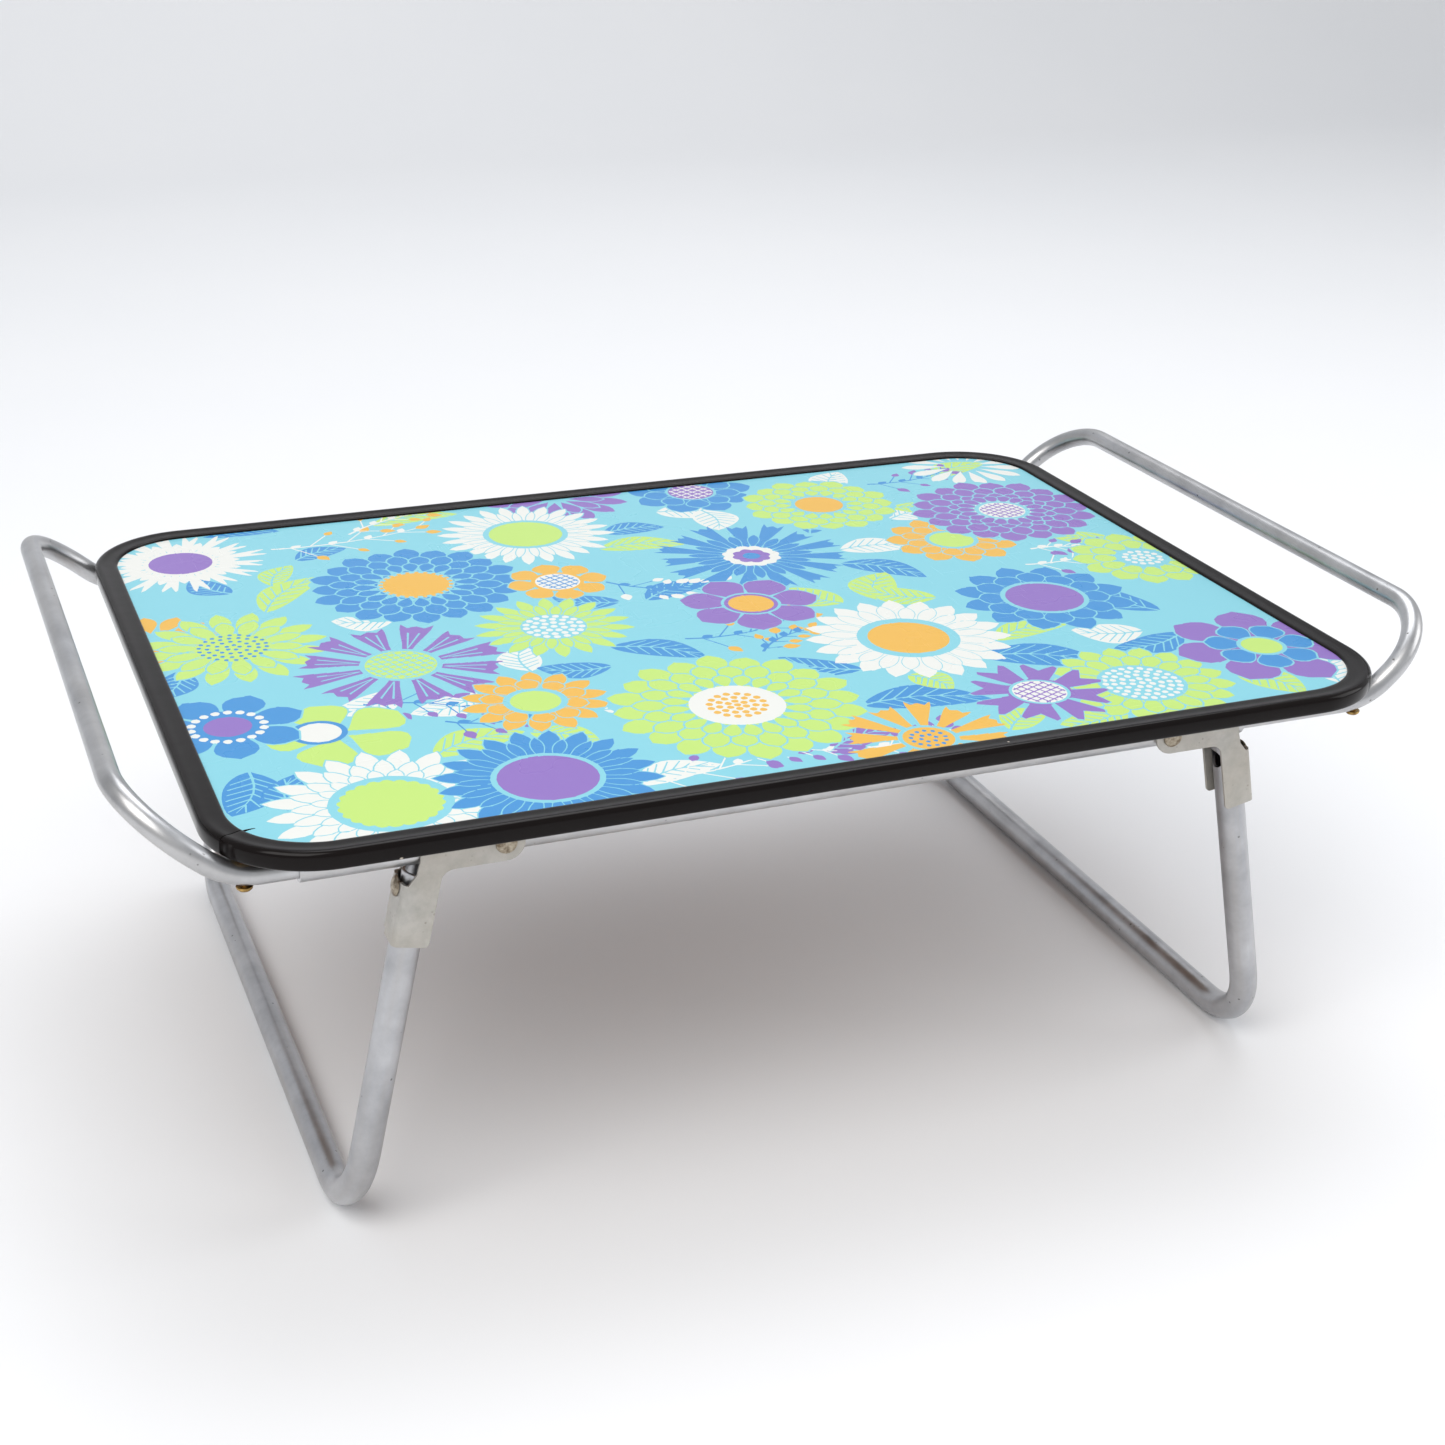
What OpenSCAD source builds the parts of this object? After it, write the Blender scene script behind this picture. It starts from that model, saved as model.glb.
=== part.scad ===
// Folding tray table: a laminated tray in a plastic edging, on two tube rails that
// take two tube handles, with two tube leg loops that fold in under the tray.
// X runs along the tray, Y across it, Z up. The origin is on the floor, under the middle.

/* [Tray] */
// Length of the tray over its edging
tray_l = 526; // [500:1:560]
// Width of the tray over its edging
tray_w = 380; // [370:1:440]
// Corner radius of the tray over its edging
corner_r = 47; // [40:1:60]
// Height of the printed surface above the floor
top_h = 188.4; // [185:0.1:200]
// Thickness of the tray board
board_t = 4.8; // [4:0.1:5]
// Thickness of the printed laminate
laminate_t = 0.8; // [0.6:0.1:1]

/* [Edging] */
// Width of the edging's top lip
lip_w = 11; // [9:0.5:14]
// Width of the edging's bottom lip
under_lip_w = 9; // [8:0.5:12]
// Thickness of the edging's outer wall
edge_wall = 2.6; // [2:0.1:3]
// Rise of the edging's crest above the printed surface
crest_h = 1.5; // [1.2:0.1:2]
// Thickness of the bottom lip
under_lip_t = 1; // [0.8:0.1:1.2]
// Angle of the butt joint round the front left corner
seam_angle = 27; // [15:1:75]

/* [Rails] */
// Diameter of the rail and leg tube
tube_d = 12.7; // [12:0.1:13]
// Wall of the leg tube
leg_wall = 1.2; // [1:0.1:1.5]
// Distance of each rail from the middle of the tray
rail_y = 165.7; // [160:0.1:168]
// Height of the rails' axis below the printed surface
rail_drop = 14.6; // [14.4:0.1:15]
// Left end of both rails
rail_left = -230; // [-235:1:-200]
// Right end of both rails
rail_right = 188; // [180:1:235]

/* [Handles] */
// Diameter of the handle tube
handle_d = 9.5; // [9:0.1:9.5]
// Wall of the handle tube
handle_wall = 1.2; // [1:0.1:1.5]
// Where the handle's arm starts to bend upwards
arm_bend_x = 243.2; // [242.8:0.1:243.8]
// Centre line radius of the arm's upward bend
arm_bend_r = 32; // [30:1:36]
// Straight length between the upward bend and the grip's corner bend
arm_straight = 3.4; // [1:0.1:12]
// Centre line radius of the grip's corner bends
grip_bend_r = 34; // [28:1:36]
// Inner end of the handle's arm inside the rail
arm_end_x = 140; // [130:1:144]

/* [Legs] */
// Splay of the legs away from upright
splay = 12; // [10:0.5:14]
// Distance of the floor bar's axis from the middle
foot_x = 216.8; // [214:0.1:218]
// Centre line radius of the leg loop's bends
foot_bend_r = 35; // [28:1:40]
// Length of the leg above its reference point beside the bracket
leg_top_over = 1.5; // [0.5:0.5:2]

/* [Brackets] */
// Distance of each fold pivot from the middle
pivot_x = 150; // [148:0.5:152]
// Thickness of the bracket's sheet
sheet_t = 1.2; // [1:0.1:1.5]
// Gap between the bracket's plates and the rail
plate_gap = 0.3; // [0.2:0.05:0.4]
// Radius of the arm's round end
arm_r = 7.8; // [7:0.1:8]
// Width of each plate on the inner side of the leg's axis
plate_in = 7.3; // [6.6:0.1:8]
// Length of the front plate below the leg's reference point
plate_low = 28.4; // [24:0.1:32]
// How much shorter the back plate is
back_short = 2.5; // [0:0.5:5]
// Radius between the arm and the plate
throat_r = 5.5; // [4:0.5:7]

/* [Fixings] */
// Diameter of the pivot rivets
pivot_d = 5; // [4:0.1:6]
// Running clearance round the pivot rivets
pivot_fit = 0.06; // [0.03:0.01:0.1]
// Diameter of the pivot rivets' heads
pivot_head_d = 8.8; // [8:0.1:10]
// Diameter of the leg rivets
leg_rivet_d = 4; // [3:0.1:5]
// Diameter of the leg rivets' domed heads
leg_rivet_head_d = 8.6; // [7:0.1:10]
// Diameter of the corner screws
screw_d = 3; // [2.5:0.1:3.5]
// Distance of the corner screws from the middle of the tray
screw_x = 250; // [246:0.5:251]

/* [Hidden] */
$fn = 64;
through = 0.5;

tube_r = tube_d / 2;
handle_r = handle_d / 2;
board_top = top_h - laminate_t;
board_under = board_top - board_t;
trim_under = board_under - under_lip_t;
rail_z = top_h - rail_drop;
rail_bore_r = handle_r + 0.05;

// Slope of the handles, a right triangle whose sine and cosine are whole in six decimals,
// which lets the bent tube's pieces meet exactly
arm_angle = atan2(10296, 11753);
screw_head_r = 3.3;
screw_lift = bend_lift(screw_x - screw_head_r, arm_bend_r + handle_r);
screw_low = rail_z + arm_bend_r - screw_lift;
screw_tip = board_top - 0.8;
spacer_r = 3.2;
spacer_low = rail_z + arm_bend_r - bend_lift(screw_x + spacer_r, arm_bend_r - handle_r);

leg_len = 159.7;
leg_ref_z = tube_r + leg_len * cos(splay);
leg_ref_x = foot_x - leg_len * sin(splay);

plate_out = rail_y + tube_r + plate_gap + sheet_t;
plate_in_y = rail_y - tube_r - plate_gap - sheet_t;
web_u = tube_r + 0.05;
fold_r = 2.4;
fold_u = web_u + sheet_t - fold_r;
web_top = -2;
arm_low = rail_z - arm_r;
stop_gap = 0.4;
throat_w = (arm_low - throat_r - leg_ref_z + (plate_in + throat_r) * sin(splay)) / cos(splay);
plate_corner_r = 2;
pivot_end_front = plate_out + 0.1;
pivot_end_back = plate_in_y - 0.1;
rivet_w = -5.5;

tray_grey = [0.72, 0.73, 0.75];
zinc = [0.66, 0.65, 0.63];
brass = [0.78, 0.62, 0.3];

// A point of the XZ plane in the right leg's own frame: out from its axis, up along it
function in_leg(x, z) = [
    (x - leg_ref_x) * cos(splay) + (z - leg_ref_z) * sin(splay),
    (z - leg_ref_z) * cos(splay) - (x - leg_ref_x) * sin(splay)];

// Drop from the centre of the arm's upward bend to a circle of radius r round it, at x
function bend_lift(x, r) = sqrt(r * r - (x - arm_bend_x) * (x - arm_bend_x));

// Points of an arc of radius r round centre, from angle a0 to a1 in n steps
function arc(centre, r, a0, a1, n = 6) =
    [for (i = [0 : n]) let (a = a0 + (a1 - a0) * i / n) centre + r * [cos(a), sin(a)]];

// Cross-section of the edging: x is the distance from its outer face, negative inwards,
// and y is the height above the printed surface
edging_outline = concat(
    arc([-1.8, trim_under - top_h + 1.8], 1.8, 0, -90),
    [[0.6 - under_lip_w, trim_under - top_h]],
    [[-under_lip_w, trim_under - top_h + 0.4]],
    [[-under_lip_w, board_under - top_h]],
    [[-edge_wall, board_under - top_h]],
    [[-edge_wall, -laminate_t]],
    [[-lip_w, -laminate_t]],
    [[-lip_w, 0]],
    [[-lip_w + 0.4, 0.8]],
    [[-lip_w + 1, 1.1]],
    [[-3.4, crest_h]],
    arc([-2.4, crest_h - 2.4], 2.4, 90, 0));

// Rounded rectangle of the tray, taken in from the outer face by inset
module tray_outline(inset) {
    x = tray_l / 2 - corner_r;
    y = tray_w / 2 - corner_r;
    union() {
        square([2 * x, tray_w - 2 * inset], center = true);
        square([tray_l - 2 * inset, 2 * y], center = true);
        for (sx = [-1, 1])
            for (sy = [-1, 1])
                translate([sx * x, sy * y]) circle(corner_r - inset);
    }
}

// Copies children to the place of all four corner screws
module at_screws() {
    for (sx = [-1, 1])
        for (sy = [-1, 1])
            translate([sx * screw_x, sy * rail_y, 0]) children();
}

module top_board() {
    color([0.45, 0.3, 0.18]) difference() {
        translate([0, 0, board_under]) linear_extrude(board_t) tray_outline(edge_wall);
        at_screws() translate([0, 0, board_under - through])
            cylinder(d = screw_d, h = screw_tip - board_under + through);
    }
}

module printed_laminate() {
    color([0.6, 0.84, 0.87])
        translate([0, 0, board_top]) linear_extrude(laminate_t) tray_outline(lip_w);
}

// One straight run of the edging, its outer face at distance from the middle
module edging_run(distance, length) {
    translate([distance, length / 2, top_h]) rotate([90, 0, 0])
        linear_extrude(length) polygon(edging_outline);
}

module edging_corner() {
    translate([0, 0, top_h]) rotate_extrude(angle = 90)
        translate([corner_r, 0]) polygon(edging_outline);
}

module edge_trim() {
    x = tray_l / 2 - corner_r;
    y = tray_w / 2 - corner_r;
    color([0.09, 0.07, 0.07]) difference() {
        union() {
            edging_run(tray_l / 2, 2 * y);
            rotate([0, 0, 180]) edging_run(tray_l / 2, 2 * y);
            rotate([0, 0, 90]) edging_run(tray_w / 2, 2 * x);
            rotate([0, 0, -90]) edging_run(tray_w / 2, 2 * x);
            translate([x, y, 0]) edging_corner();
            translate([-x, y, 0]) rotate([0, 0, 90]) edging_corner();
            translate([-x, -y, 0]) rotate([0, 0, 180]) edging_corner();
            translate([x, -y, 0]) rotate([0, 0, 270]) edging_corner();
        }
        translate([-x, -y, top_h]) rotate([0, 0, 180 + seam_angle])
            translate([corner_r - lip_w - 1, -0.15, -20]) cube([lip_w + 2, 0.3, 40]);
        at_screws() translate([0, 0, trim_under - through]) cylinder(d = screw_d, h = 2);
    }
}

// A rail: a straight sleeve that both handles' arms push into
module side_rail(side) {
    color(tray_grey) difference() {
        translate([rail_left, side * rail_y, rail_z]) rotate([0, 90, 0])
            cylinder(r = tube_r, h = rail_right - rail_left);
        translate([rail_left - through, side * rail_y, rail_z]) rotate([0, 90, 0])
            cylinder(r = rail_bore_r, h = rail_right - rail_left + 2 * through);
        for (sx = [-1, 1])
            translate([sx * pivot_x, side * rail_y + 10, rail_z]) rotate([90, 0, 0])
                cylinder(d = pivot_d, h = 20);
    }
}

// Front arm of the right handle as a solid rod of radius r, from the plug inside the rail
// to the end of the grip's corner bend
module handle_arm(r, over) {
    translate([arm_bend_x, -rail_y, rail_z]) rotate([0, -90, 0])
        cylinder(r = r, h = arm_bend_x - arm_end_x + over);
    intersection() {
        translate([arm_bend_x, -rail_y, rail_z + arm_bend_r]) rotate([90, 0, 0])
            rotate_extrude() translate([arm_bend_r, 0]) circle(r);
        translate([arm_bend_x, -rail_y - tube_d, rail_z - tube_d])
            cube([2 * arm_bend_r, 2 * tube_d, arm_bend_r + tube_d]);
        at_slope() translate([-2 * arm_bend_r, -tube_d, -arm_bend_r])
            cube([2 * arm_bend_r, 2 * tube_d, 2 * arm_bend_r]);
    }
    at_slope() {
        rotate([0, 90, 0]) cylinder(r = r, h = arm_straight);
        translate([arm_straight, grip_bend_r, 0]) rotate([0, 0, -90])
            rotate_extrude(angle = 90) translate([grip_bend_r, 0]) circle(r);
    }
}

// Places children where the front arm's upward bend ends, X running on along the slope
module at_slope() {
    translate([arm_bend_x, -rail_y, rail_z + arm_bend_r]) rotate([0, -arm_angle, 0])
        translate([0, 0, -arm_bend_r]) children();
}

module handle_rod(r, over = 0) {
    union() {
        handle_arm(r, over);
        mirror([0, 1, 0]) handle_arm(r, over);
        at_slope() translate([arm_straight + grip_bend_r, grip_bend_r, 0]) rotate([-90, 0, 0])
            cylinder(r = r, h = 2 * (rail_y - grip_bend_r));
    }
}

// The right handle; the left one is its mirror image
module handle_tube() {
    color(tray_grey) difference() {
        handle_rod(handle_r);
        handle_rod(handle_r - handle_wall, through);
        for (sy = [-1, 1]) {
            translate([pivot_x, sy * rail_y + 8, rail_z]) rotate([90, 0, 0])
                cylinder(d = pivot_d, h = 16);
            translate([screw_x, sy * rail_y, rail_z - 8]) cylinder(d = screw_d, h = 20);
        }
    }
}

// Spacer between the handle's arm and the edging at the front right corner
module corner_spacer() {
    color(brass) translate([screw_x, -rail_y, spacer_low]) difference() {
        cylinder(r = spacer_r, h = trim_under - spacer_low);
        translate([0, 0, -1]) cylinder(d = screw_d, h = 5);
    }
}

// Screw up through the handle's arm, the spacer and the edging's lip into the board
module corner_screw() {
    color(brass) translate([screw_x, -rail_y, 0]) {
        translate([0, 0, screw_low]) cylinder(d = screw_d, h = screw_tip - screw_low);
        translate([0, 0, screw_low]) intersection() {
            translate([0, 0, 1.6]) sphere(r = 3.7);
            translate([0, 0, -2.2]) cylinder(r = screw_head_r, h = 2.2);
        }
    }
}

// Rivet along Y through the bracket's arms, the rail and the handle's arm
module pivot_rivet() {
    color(zinc) translate([pivot_x, 0, rail_z]) rotate([90, 0, 0]) {
        translate([0, 0, pivot_end_back]) cylinder(d = pivot_d, h = pivot_end_front - pivot_end_back);
        translate([0, 0, pivot_end_front]) cylinder(d = pivot_head_d, h = 0.7);
        translate([0, 0, pivot_end_front + 0.7])
            cylinder(d1 = pivot_head_d, d2 = pivot_head_d - 2, h = 0.5);
        translate([0, 0, pivot_end_back - 1]) cylinder(d = pivot_head_d - 1, h = 1);
    }
}

// Places children in the right leg's own frame: Z up along the leg's axis from its
// reference point beside the bracket, X away from the middle of the table
module at_leg() {
    translate([leg_ref_x, 0, leg_ref_z]) rotate([0, -splay, 0]) children();
}

// The leg loop as a solid rod of radius r, in the leg's own frame
module loop_rod(r, over = 0) {
    for (side = [0, 1])
        mirror([0, side, 0]) {
            translate([0, rail_y, foot_bend_r - leg_len])
                cylinder(r = r, h = leg_len - foot_bend_r + leg_top_over + over);
            translate([0, rail_y - foot_bend_r, foot_bend_r - leg_len])
                rotate([-90, 0, 90]) rotate_extrude(angle = 90)
                    translate([foot_bend_r, 0]) circle(r);
        }
    translate([0, rail_y - foot_bend_r, -leg_len]) rotate([90, 0, 0])
        cylinder(r = r, h = 2 * (rail_y - foot_bend_r));
}

module leg_loop() {
    color(tray_grey) at_leg() difference() {
        union() loop_rod(tube_r);
        union() loop_rod(tube_r - leg_wall, through);
        for (sy = [-1, 1]) {
            translate([0, sy * rail_y, rivet_w]) rotate([0, 90, 0])
                cylinder(d = leg_rivet_d, h = 8);
            translate([-8, sy * rail_y, rivet_w]) rotate([0, 90, 0])
                cylinder(d = 8.6, h = 8);
        }
    }
}

// Outline of the bracket's plates in the leg's own frame, from the arm's round end
// along its underside, round the throat and down to low
function plate_outline(low) = concat(
    arc(in_leg(pivot_x, rail_z), arm_r, 90 - splay, 270 - splay, 24),
    arc([-plate_in - throat_r, throat_w], throat_r, 90 - splay, 0, 10),
    arc([plate_corner_r - plate_in, plate_corner_r - low], plate_corner_r, 180, 270),
    [[fold_u, -low], [fold_u, web_top]],
    [in_leg(leg_ref_x + 2.2, arm_low - 0.4), in_leg(leg_ref_x + 0.7, rail_z - 3)],
    [in_leg(leg_ref_x - 0.5, board_under - stop_gap)]);

// Cross-section of the channel that holds the leg: a bend of outer radius r whose back
// lies at distance u from the leg's axis, its sides half apart from the middle
module channel_half_space(u, half, r) {
    translate([-r, -half]) square([u, 2 * half]);
    translate([-r, r - half]) square([u + r, 2 * (half - r)]);
    for (sy = [-1, 1])
        translate([u - r, sy * (half - r)]) circle(r);
}

module channel_outline() {
    half = tube_r + plate_gap;
    intersection() {
        difference() {
            channel_half_space(web_u + sheet_t, half + sheet_t, fold_r);
            channel_half_space(web_u, half, fold_r - sheet_t);
            translate([-2 * fold_r, -half]) square([2 * fold_r, 2 * half]);
        }
        translate([0, -tube_d]) square([tube_d, 2 * tube_d]);
    }
}

// The bracket of the front right leg: two plates and the web that joins them
module leg_bracket() {
    color(zinc) difference() {
        union() {
            at_leg() translate([0, -plate_out + sheet_t, 0]) rotate([90, 0, 0])
                linear_extrude(sheet_t) polygon(plate_outline(plate_low));
            at_leg() translate([0, -plate_in_y, 0]) rotate([90, 0, 0])
                linear_extrude(sheet_t) polygon(plate_outline(plate_low - back_short));
            at_leg() translate([0, -rail_y, -plate_low])
                linear_extrude(plate_low + web_top) channel_outline();
        }
        at_leg() translate([-tube_d, tube_r + plate_gap - fold_r - rail_y, -plate_low - 1])
            cube([2 * tube_d + sheet_t, tube_r, back_short + 1]);
        translate([pivot_x, 0, rail_z]) rotate([90, 0, 0])
            cylinder(d = pivot_d + 2 * pivot_fit, h = rail_y + 20);
        at_leg() translate([0, -rail_y, rivet_w]) rotate([0, 90, 0])
            cylinder(d = leg_rivet_d, h = 12);
        at_leg() translate([web_u - 1, -rail_y, web_top + 1.4]) rotate([0, 90, 0])
            cylinder(r = 4.2, h = 12);
    }
}

// Rivet through the web and the leg's outer wall, its domed head outside
module leg_rivet() {
    color(zinc) at_leg() translate([0, -rail_y, rivet_w]) rotate([0, 90, 0]) {
        translate([0, 0, 3.6]) cylinder(d = leg_rivet_d, h = web_u + sheet_t - 3.6);
        translate([0, 0, web_u + sheet_t]) intersection() {
            translate([0, 0, 1.9 - 5.85]) sphere(r = 5.85);
            cylinder(d = leg_rivet_head_d, h = 2.5);
        }
        translate([0, 0, 3.2]) cylinder(d = leg_rivet_d + 1.4, h = 1.2);
    }
}

// A part of the front right corner, copied to another corner
module corner(sx, sy) {
    mirror([sx < 0 ? 1 : 0, 0, 0]) mirror([0, sy > 0 ? 1 : 0, 0]) children();
}

top_board();
printed_laminate();
edge_trim();
side_rail(-1);  // side_rail_front
side_rail(1);  // side_rail_back
mirror([1, 0, 0]) handle_tube();  // handle_tube_left
handle_tube();  // handle_tube_right
corner(-1, -1) corner_spacer();  // corner_spacer_front_left
corner(1, -1) corner_spacer();  // corner_spacer_front_right
corner(-1, 1) corner_spacer();  // corner_spacer_back_left
corner(1, 1) corner_spacer();  // corner_spacer_back_right
corner(-1, -1) corner_screw();  // corner_screw_front_left
corner(1, -1) corner_screw();  // corner_screw_front_right
corner(-1, 1) corner_screw();  // corner_screw_back_left
corner(1, 1) corner_screw();  // corner_screw_back_right
corner(-1, -1) pivot_rivet();  // pivot_rivet_front_left
corner(1, -1) pivot_rivet();  // pivot_rivet_front_right
corner(-1, 1) pivot_rivet();  // pivot_rivet_back_left
corner(1, 1) pivot_rivet();  // pivot_rivet_back_right
mirror([1, 0, 0]) leg_loop();  // leg_loop_left
leg_loop();  // leg_loop_right
corner(-1, -1) leg_bracket();  // leg_bracket_front_left
corner(1, -1) leg_bracket();  // leg_bracket_front_right
corner(-1, 1) leg_bracket();  // leg_bracket_back_left
corner(1, 1) leg_bracket();  // leg_bracket_back_right
corner(-1, -1) leg_rivet();  // leg_rivet_front_left
corner(1, -1) leg_rivet();  // leg_rivet_front_right
corner(-1, 1) leg_rivet();  // leg_rivet_back_left
corner(1, 1) leg_rivet();  // leg_rivet_back_right
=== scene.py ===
"""Folding tray table: printed laminate tray in a plastic edging, bent tube frame.
Lengths are in millimetres inside the shape functions and in metres in the meshes.
"""

import bpy
import bmesh
import numpy as np
from mathutils import Matrix, Vector


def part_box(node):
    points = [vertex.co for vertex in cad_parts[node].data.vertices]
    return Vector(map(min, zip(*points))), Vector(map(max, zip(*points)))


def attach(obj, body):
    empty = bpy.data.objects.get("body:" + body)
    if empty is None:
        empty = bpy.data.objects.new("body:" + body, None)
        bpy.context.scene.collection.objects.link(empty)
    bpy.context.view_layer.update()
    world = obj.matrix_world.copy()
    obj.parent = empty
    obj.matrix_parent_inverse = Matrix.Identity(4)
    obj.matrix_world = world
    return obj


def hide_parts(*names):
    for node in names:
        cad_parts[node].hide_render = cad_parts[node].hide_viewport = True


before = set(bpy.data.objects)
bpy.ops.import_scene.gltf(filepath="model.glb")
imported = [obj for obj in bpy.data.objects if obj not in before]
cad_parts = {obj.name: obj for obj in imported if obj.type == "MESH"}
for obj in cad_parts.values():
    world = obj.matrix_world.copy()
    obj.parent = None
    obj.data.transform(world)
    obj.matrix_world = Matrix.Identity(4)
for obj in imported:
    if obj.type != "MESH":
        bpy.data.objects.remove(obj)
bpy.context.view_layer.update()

MM = 0.001
TRAY_L, TRAY_W, CORNER_R = 526.0, 380.0, 47.0
TOP_H, LAMINATE_T, BOARD_T = 188.4, 0.8, 4.8
LIP_W, UNDER_LIP_W, EDGE_WALL, CREST_H = 11.0, 9.0, 2.6, 1.5
RAIL_Y, RAIL_Z = 165.7, 173.8
TUBE_R, HANDLE_R, WALL = 6.35, 4.75, 1.2
ARM_BEND_X, ARM_BEND_R, ARM_STRAIGHT, GRIP_R = 243.2, 32.0, 3.4, 34.0
ARM_ANGLE = np.arctan2(10296.0, 11753.0)
ARM_END_X = 140.0
RAIL_LEFT, RAIL_RIGHT = -230.0, 188.0
SPLAY = np.radians(12.0)
FOOT_X, LEG_LEN, FOOT_R, LEG_TOP = 216.8, 159.7, 35.0, 1.5
PIVOT_X = 150.0
PLATE_GAP, PLATE_T = 0.3, 1.2  # a bracket's plates beside the rail
WEB_OUT, LEG_RIVET_UP = 7.6, -5.5  # the bracket's web, and its rivet's place along the leg
CORNER_SCREW_X = 250.0
SEAM = np.radians(207.0)  # where the edging's ends meet, as an angle round its corner
SEAM_GAP = 0.3
CORNERS = [("front", -1, "left", -1), ("front", -1, "right", 1),
           ("back", 1, "left", -1), ("back", 1, "right", 1)]


# ---------------------------------------------------------------- meshes

def new_object(name, verts, faces, uv=None, smooth=True, sharp=35.0):
    """An object from vertices in millimetres and faces; edges sharper than sharp degrees
    stay crisp. uv holds one pair per face corner."""
    mesh = bpy.data.meshes.new(name)
    mesh.from_pydata(np.asarray(verts, float) * MM, [], faces)
    if uv is not None:
        layer = mesh.uv_layers.new(name="run")
        layer.data.foreach_set("uv", np.asarray(uv, np.float32).ravel())
    mesh.polygons.foreach_set("use_smooth", [smooth] * len(mesh.polygons))
    if smooth:
        mesh.set_sharp_from_angle(angle=np.radians(sharp))
    mesh.update()
    obj = bpy.data.objects.new(name, mesh)
    bpy.context.scene.collection.objects.link(obj)
    return obj


def grid_faces(rows, cols, close_rows, close_cols):
    """Quads of a grid of rows by cols points: each face joins a point to the next in
    its row and column, wrapping where a direction is closed."""
    i = np.arange(rows if close_rows else rows - 1)[:, None]
    j = np.arange(cols if close_cols else cols - 1)[None, :]
    a = i * cols + j
    b = ((i + 1) % rows) * cols + j
    c = ((i + 1) % rows) * cols + (j + 1) % cols
    d = i * cols + (j + 1) % cols
    return np.stack([a, b, c, d], -1).reshape(-1, 4)


def tube_shell(name, path, radius, bore, side, round_steps=48):
    """A hollow tube along path. The point at path position s and angle a is
    centre(s) + r (cos a N(s) + sin a B(s)), where B is side made square to the path's
    tangent and N is square to both. r is the outer radius on the way out and the bore's
    on the way back, with a small round at each rim, so the grid closes on itself.
    uv is the length along the path and the length round the tube, in metres."""
    path = np.asarray(path, float)
    step = np.gradient(path, axis=0)
    step[0], step[-1] = path[1] - path[0], path[-1] - path[-2]
    tangent = step / np.linalg.norm(step, axis=1, keepdims=True)
    b = np.asarray(side, float) - (tangent @ np.asarray(side, float))[:, None] * tangent
    b /= np.linalg.norm(b, axis=1, keepdims=True)
    n = np.cross(tangent, b)
    rim = 0.25
    last = len(path) - 1
    index = np.concatenate([[0], np.arange(last + 1), [last], [last], np.arange(last, -1, -1), [0]])
    r = np.full(len(index), radius)
    r[0], r[last + 2] = radius - rim, radius - rim
    r[last + 3:] = bore
    shift = np.zeros(len(index))
    shift[1], shift[last + 1] = rim, -rim
    centre = path[index] + tangent[index] * shift[:, None]
    a = np.linspace(0, 2 * np.pi, round_steps, endpoint=False)
    ring = np.cos(a)[None, :, None] * n[index][:, None, :] + np.sin(a)[None, :, None] * b[index][:, None, :]
    points = centre[:, None, :] + r[:, None, None] * ring
    faces = grid_faces(len(index), round_steps, True, True)
    run = np.concatenate([[0], np.cumsum(np.linalg.norm(np.diff(path, axis=0), axis=1))]) * MM
    u = run[index]
    rows, cols = faces[:, 0] // round_steps, faces[:, 0] % round_steps
    next_row = (rows + 1) % len(index)
    around = 2 * np.pi * radius * MM / round_steps
    corners = ((rows, cols), (next_row, cols), (next_row, cols + 1), (rows, cols + 1))
    uv = np.stack([np.stack([u[i], j * around], -1) for i, j in corners], 1)
    return new_object(name, points.reshape(-1, 3), faces.tolist(), uv)


def heading(angle):
    """The unit vector (cos, sin) at an angle and its left normal (-sin, cos)."""
    return np.array([np.cos(angle), np.sin(angle)]), np.array([-np.sin(angle), np.cos(angle)])


def arc_points(centre, start, toward, angle, count):
    """Points centre + cos t (start - centre) + sin t toward, for t from 0 to angle."""
    t = np.linspace(0, angle, count)[:, None]
    return centre + np.cos(t) * (start - centre) + np.sin(t) * toward


def straight(a, b, spacing=12.0):
    """Points from a to b, evenly about spacing apart, both ends included."""
    count = max(2, int(np.linalg.norm(b - a) / spacing) + 1)
    t = np.linspace(0, 1, count)[:, None]
    return a + (b - a) * t


def joined(*runs):
    """The runs one after another, each without its first point if it repeats the last."""
    out = [runs[0]]
    for run in runs[1:]:
        out.append(run[1:])
    return np.concatenate(out)


def spin_solid(name, profile, origin, axis, side, steps=48):
    """A profile of (radius, height) pairs turned about an axis. The point at profile step
    i and angle a is origin + h axis + r (cos a side + sin a axis x side). The first and
    last pair have radius 0 and close the poles with fans of triangles."""
    profile = np.asarray(profile, float)
    axis = np.asarray(axis, float) / np.linalg.norm(axis)
    side = np.asarray(side, float) / np.linalg.norm(side)
    other = np.cross(axis, side)
    a = np.linspace(0, 2 * np.pi, steps, endpoint=False)
    ring = np.cos(a)[:, None] * side + np.sin(a)[:, None] * other
    middle = profile[1:-1]
    points = origin + middle[:, None, 1:] * axis + middle[:, None, :1] * ring[None]
    verts = np.concatenate([points.reshape(-1, 3), [origin + profile[0, 1] * axis],
                            [origin + profile[-1, 1] * axis]])
    body = grid_faces(len(middle), steps, False, True)[:, ::-1]
    first, last = len(verts) - 2, len(verts) - 1
    j = np.arange(steps)
    top = (len(middle) - 1) * steps
    low_fan = np.stack([np.full(steps, first), (j + 1) % steps, j], -1)
    high_fan = np.stack([np.full(steps, last), top + j, top + (j + 1) % steps], -1)
    return new_object(name, verts, body.tolist() + low_fan.tolist() + high_fan.tolist())


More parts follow.
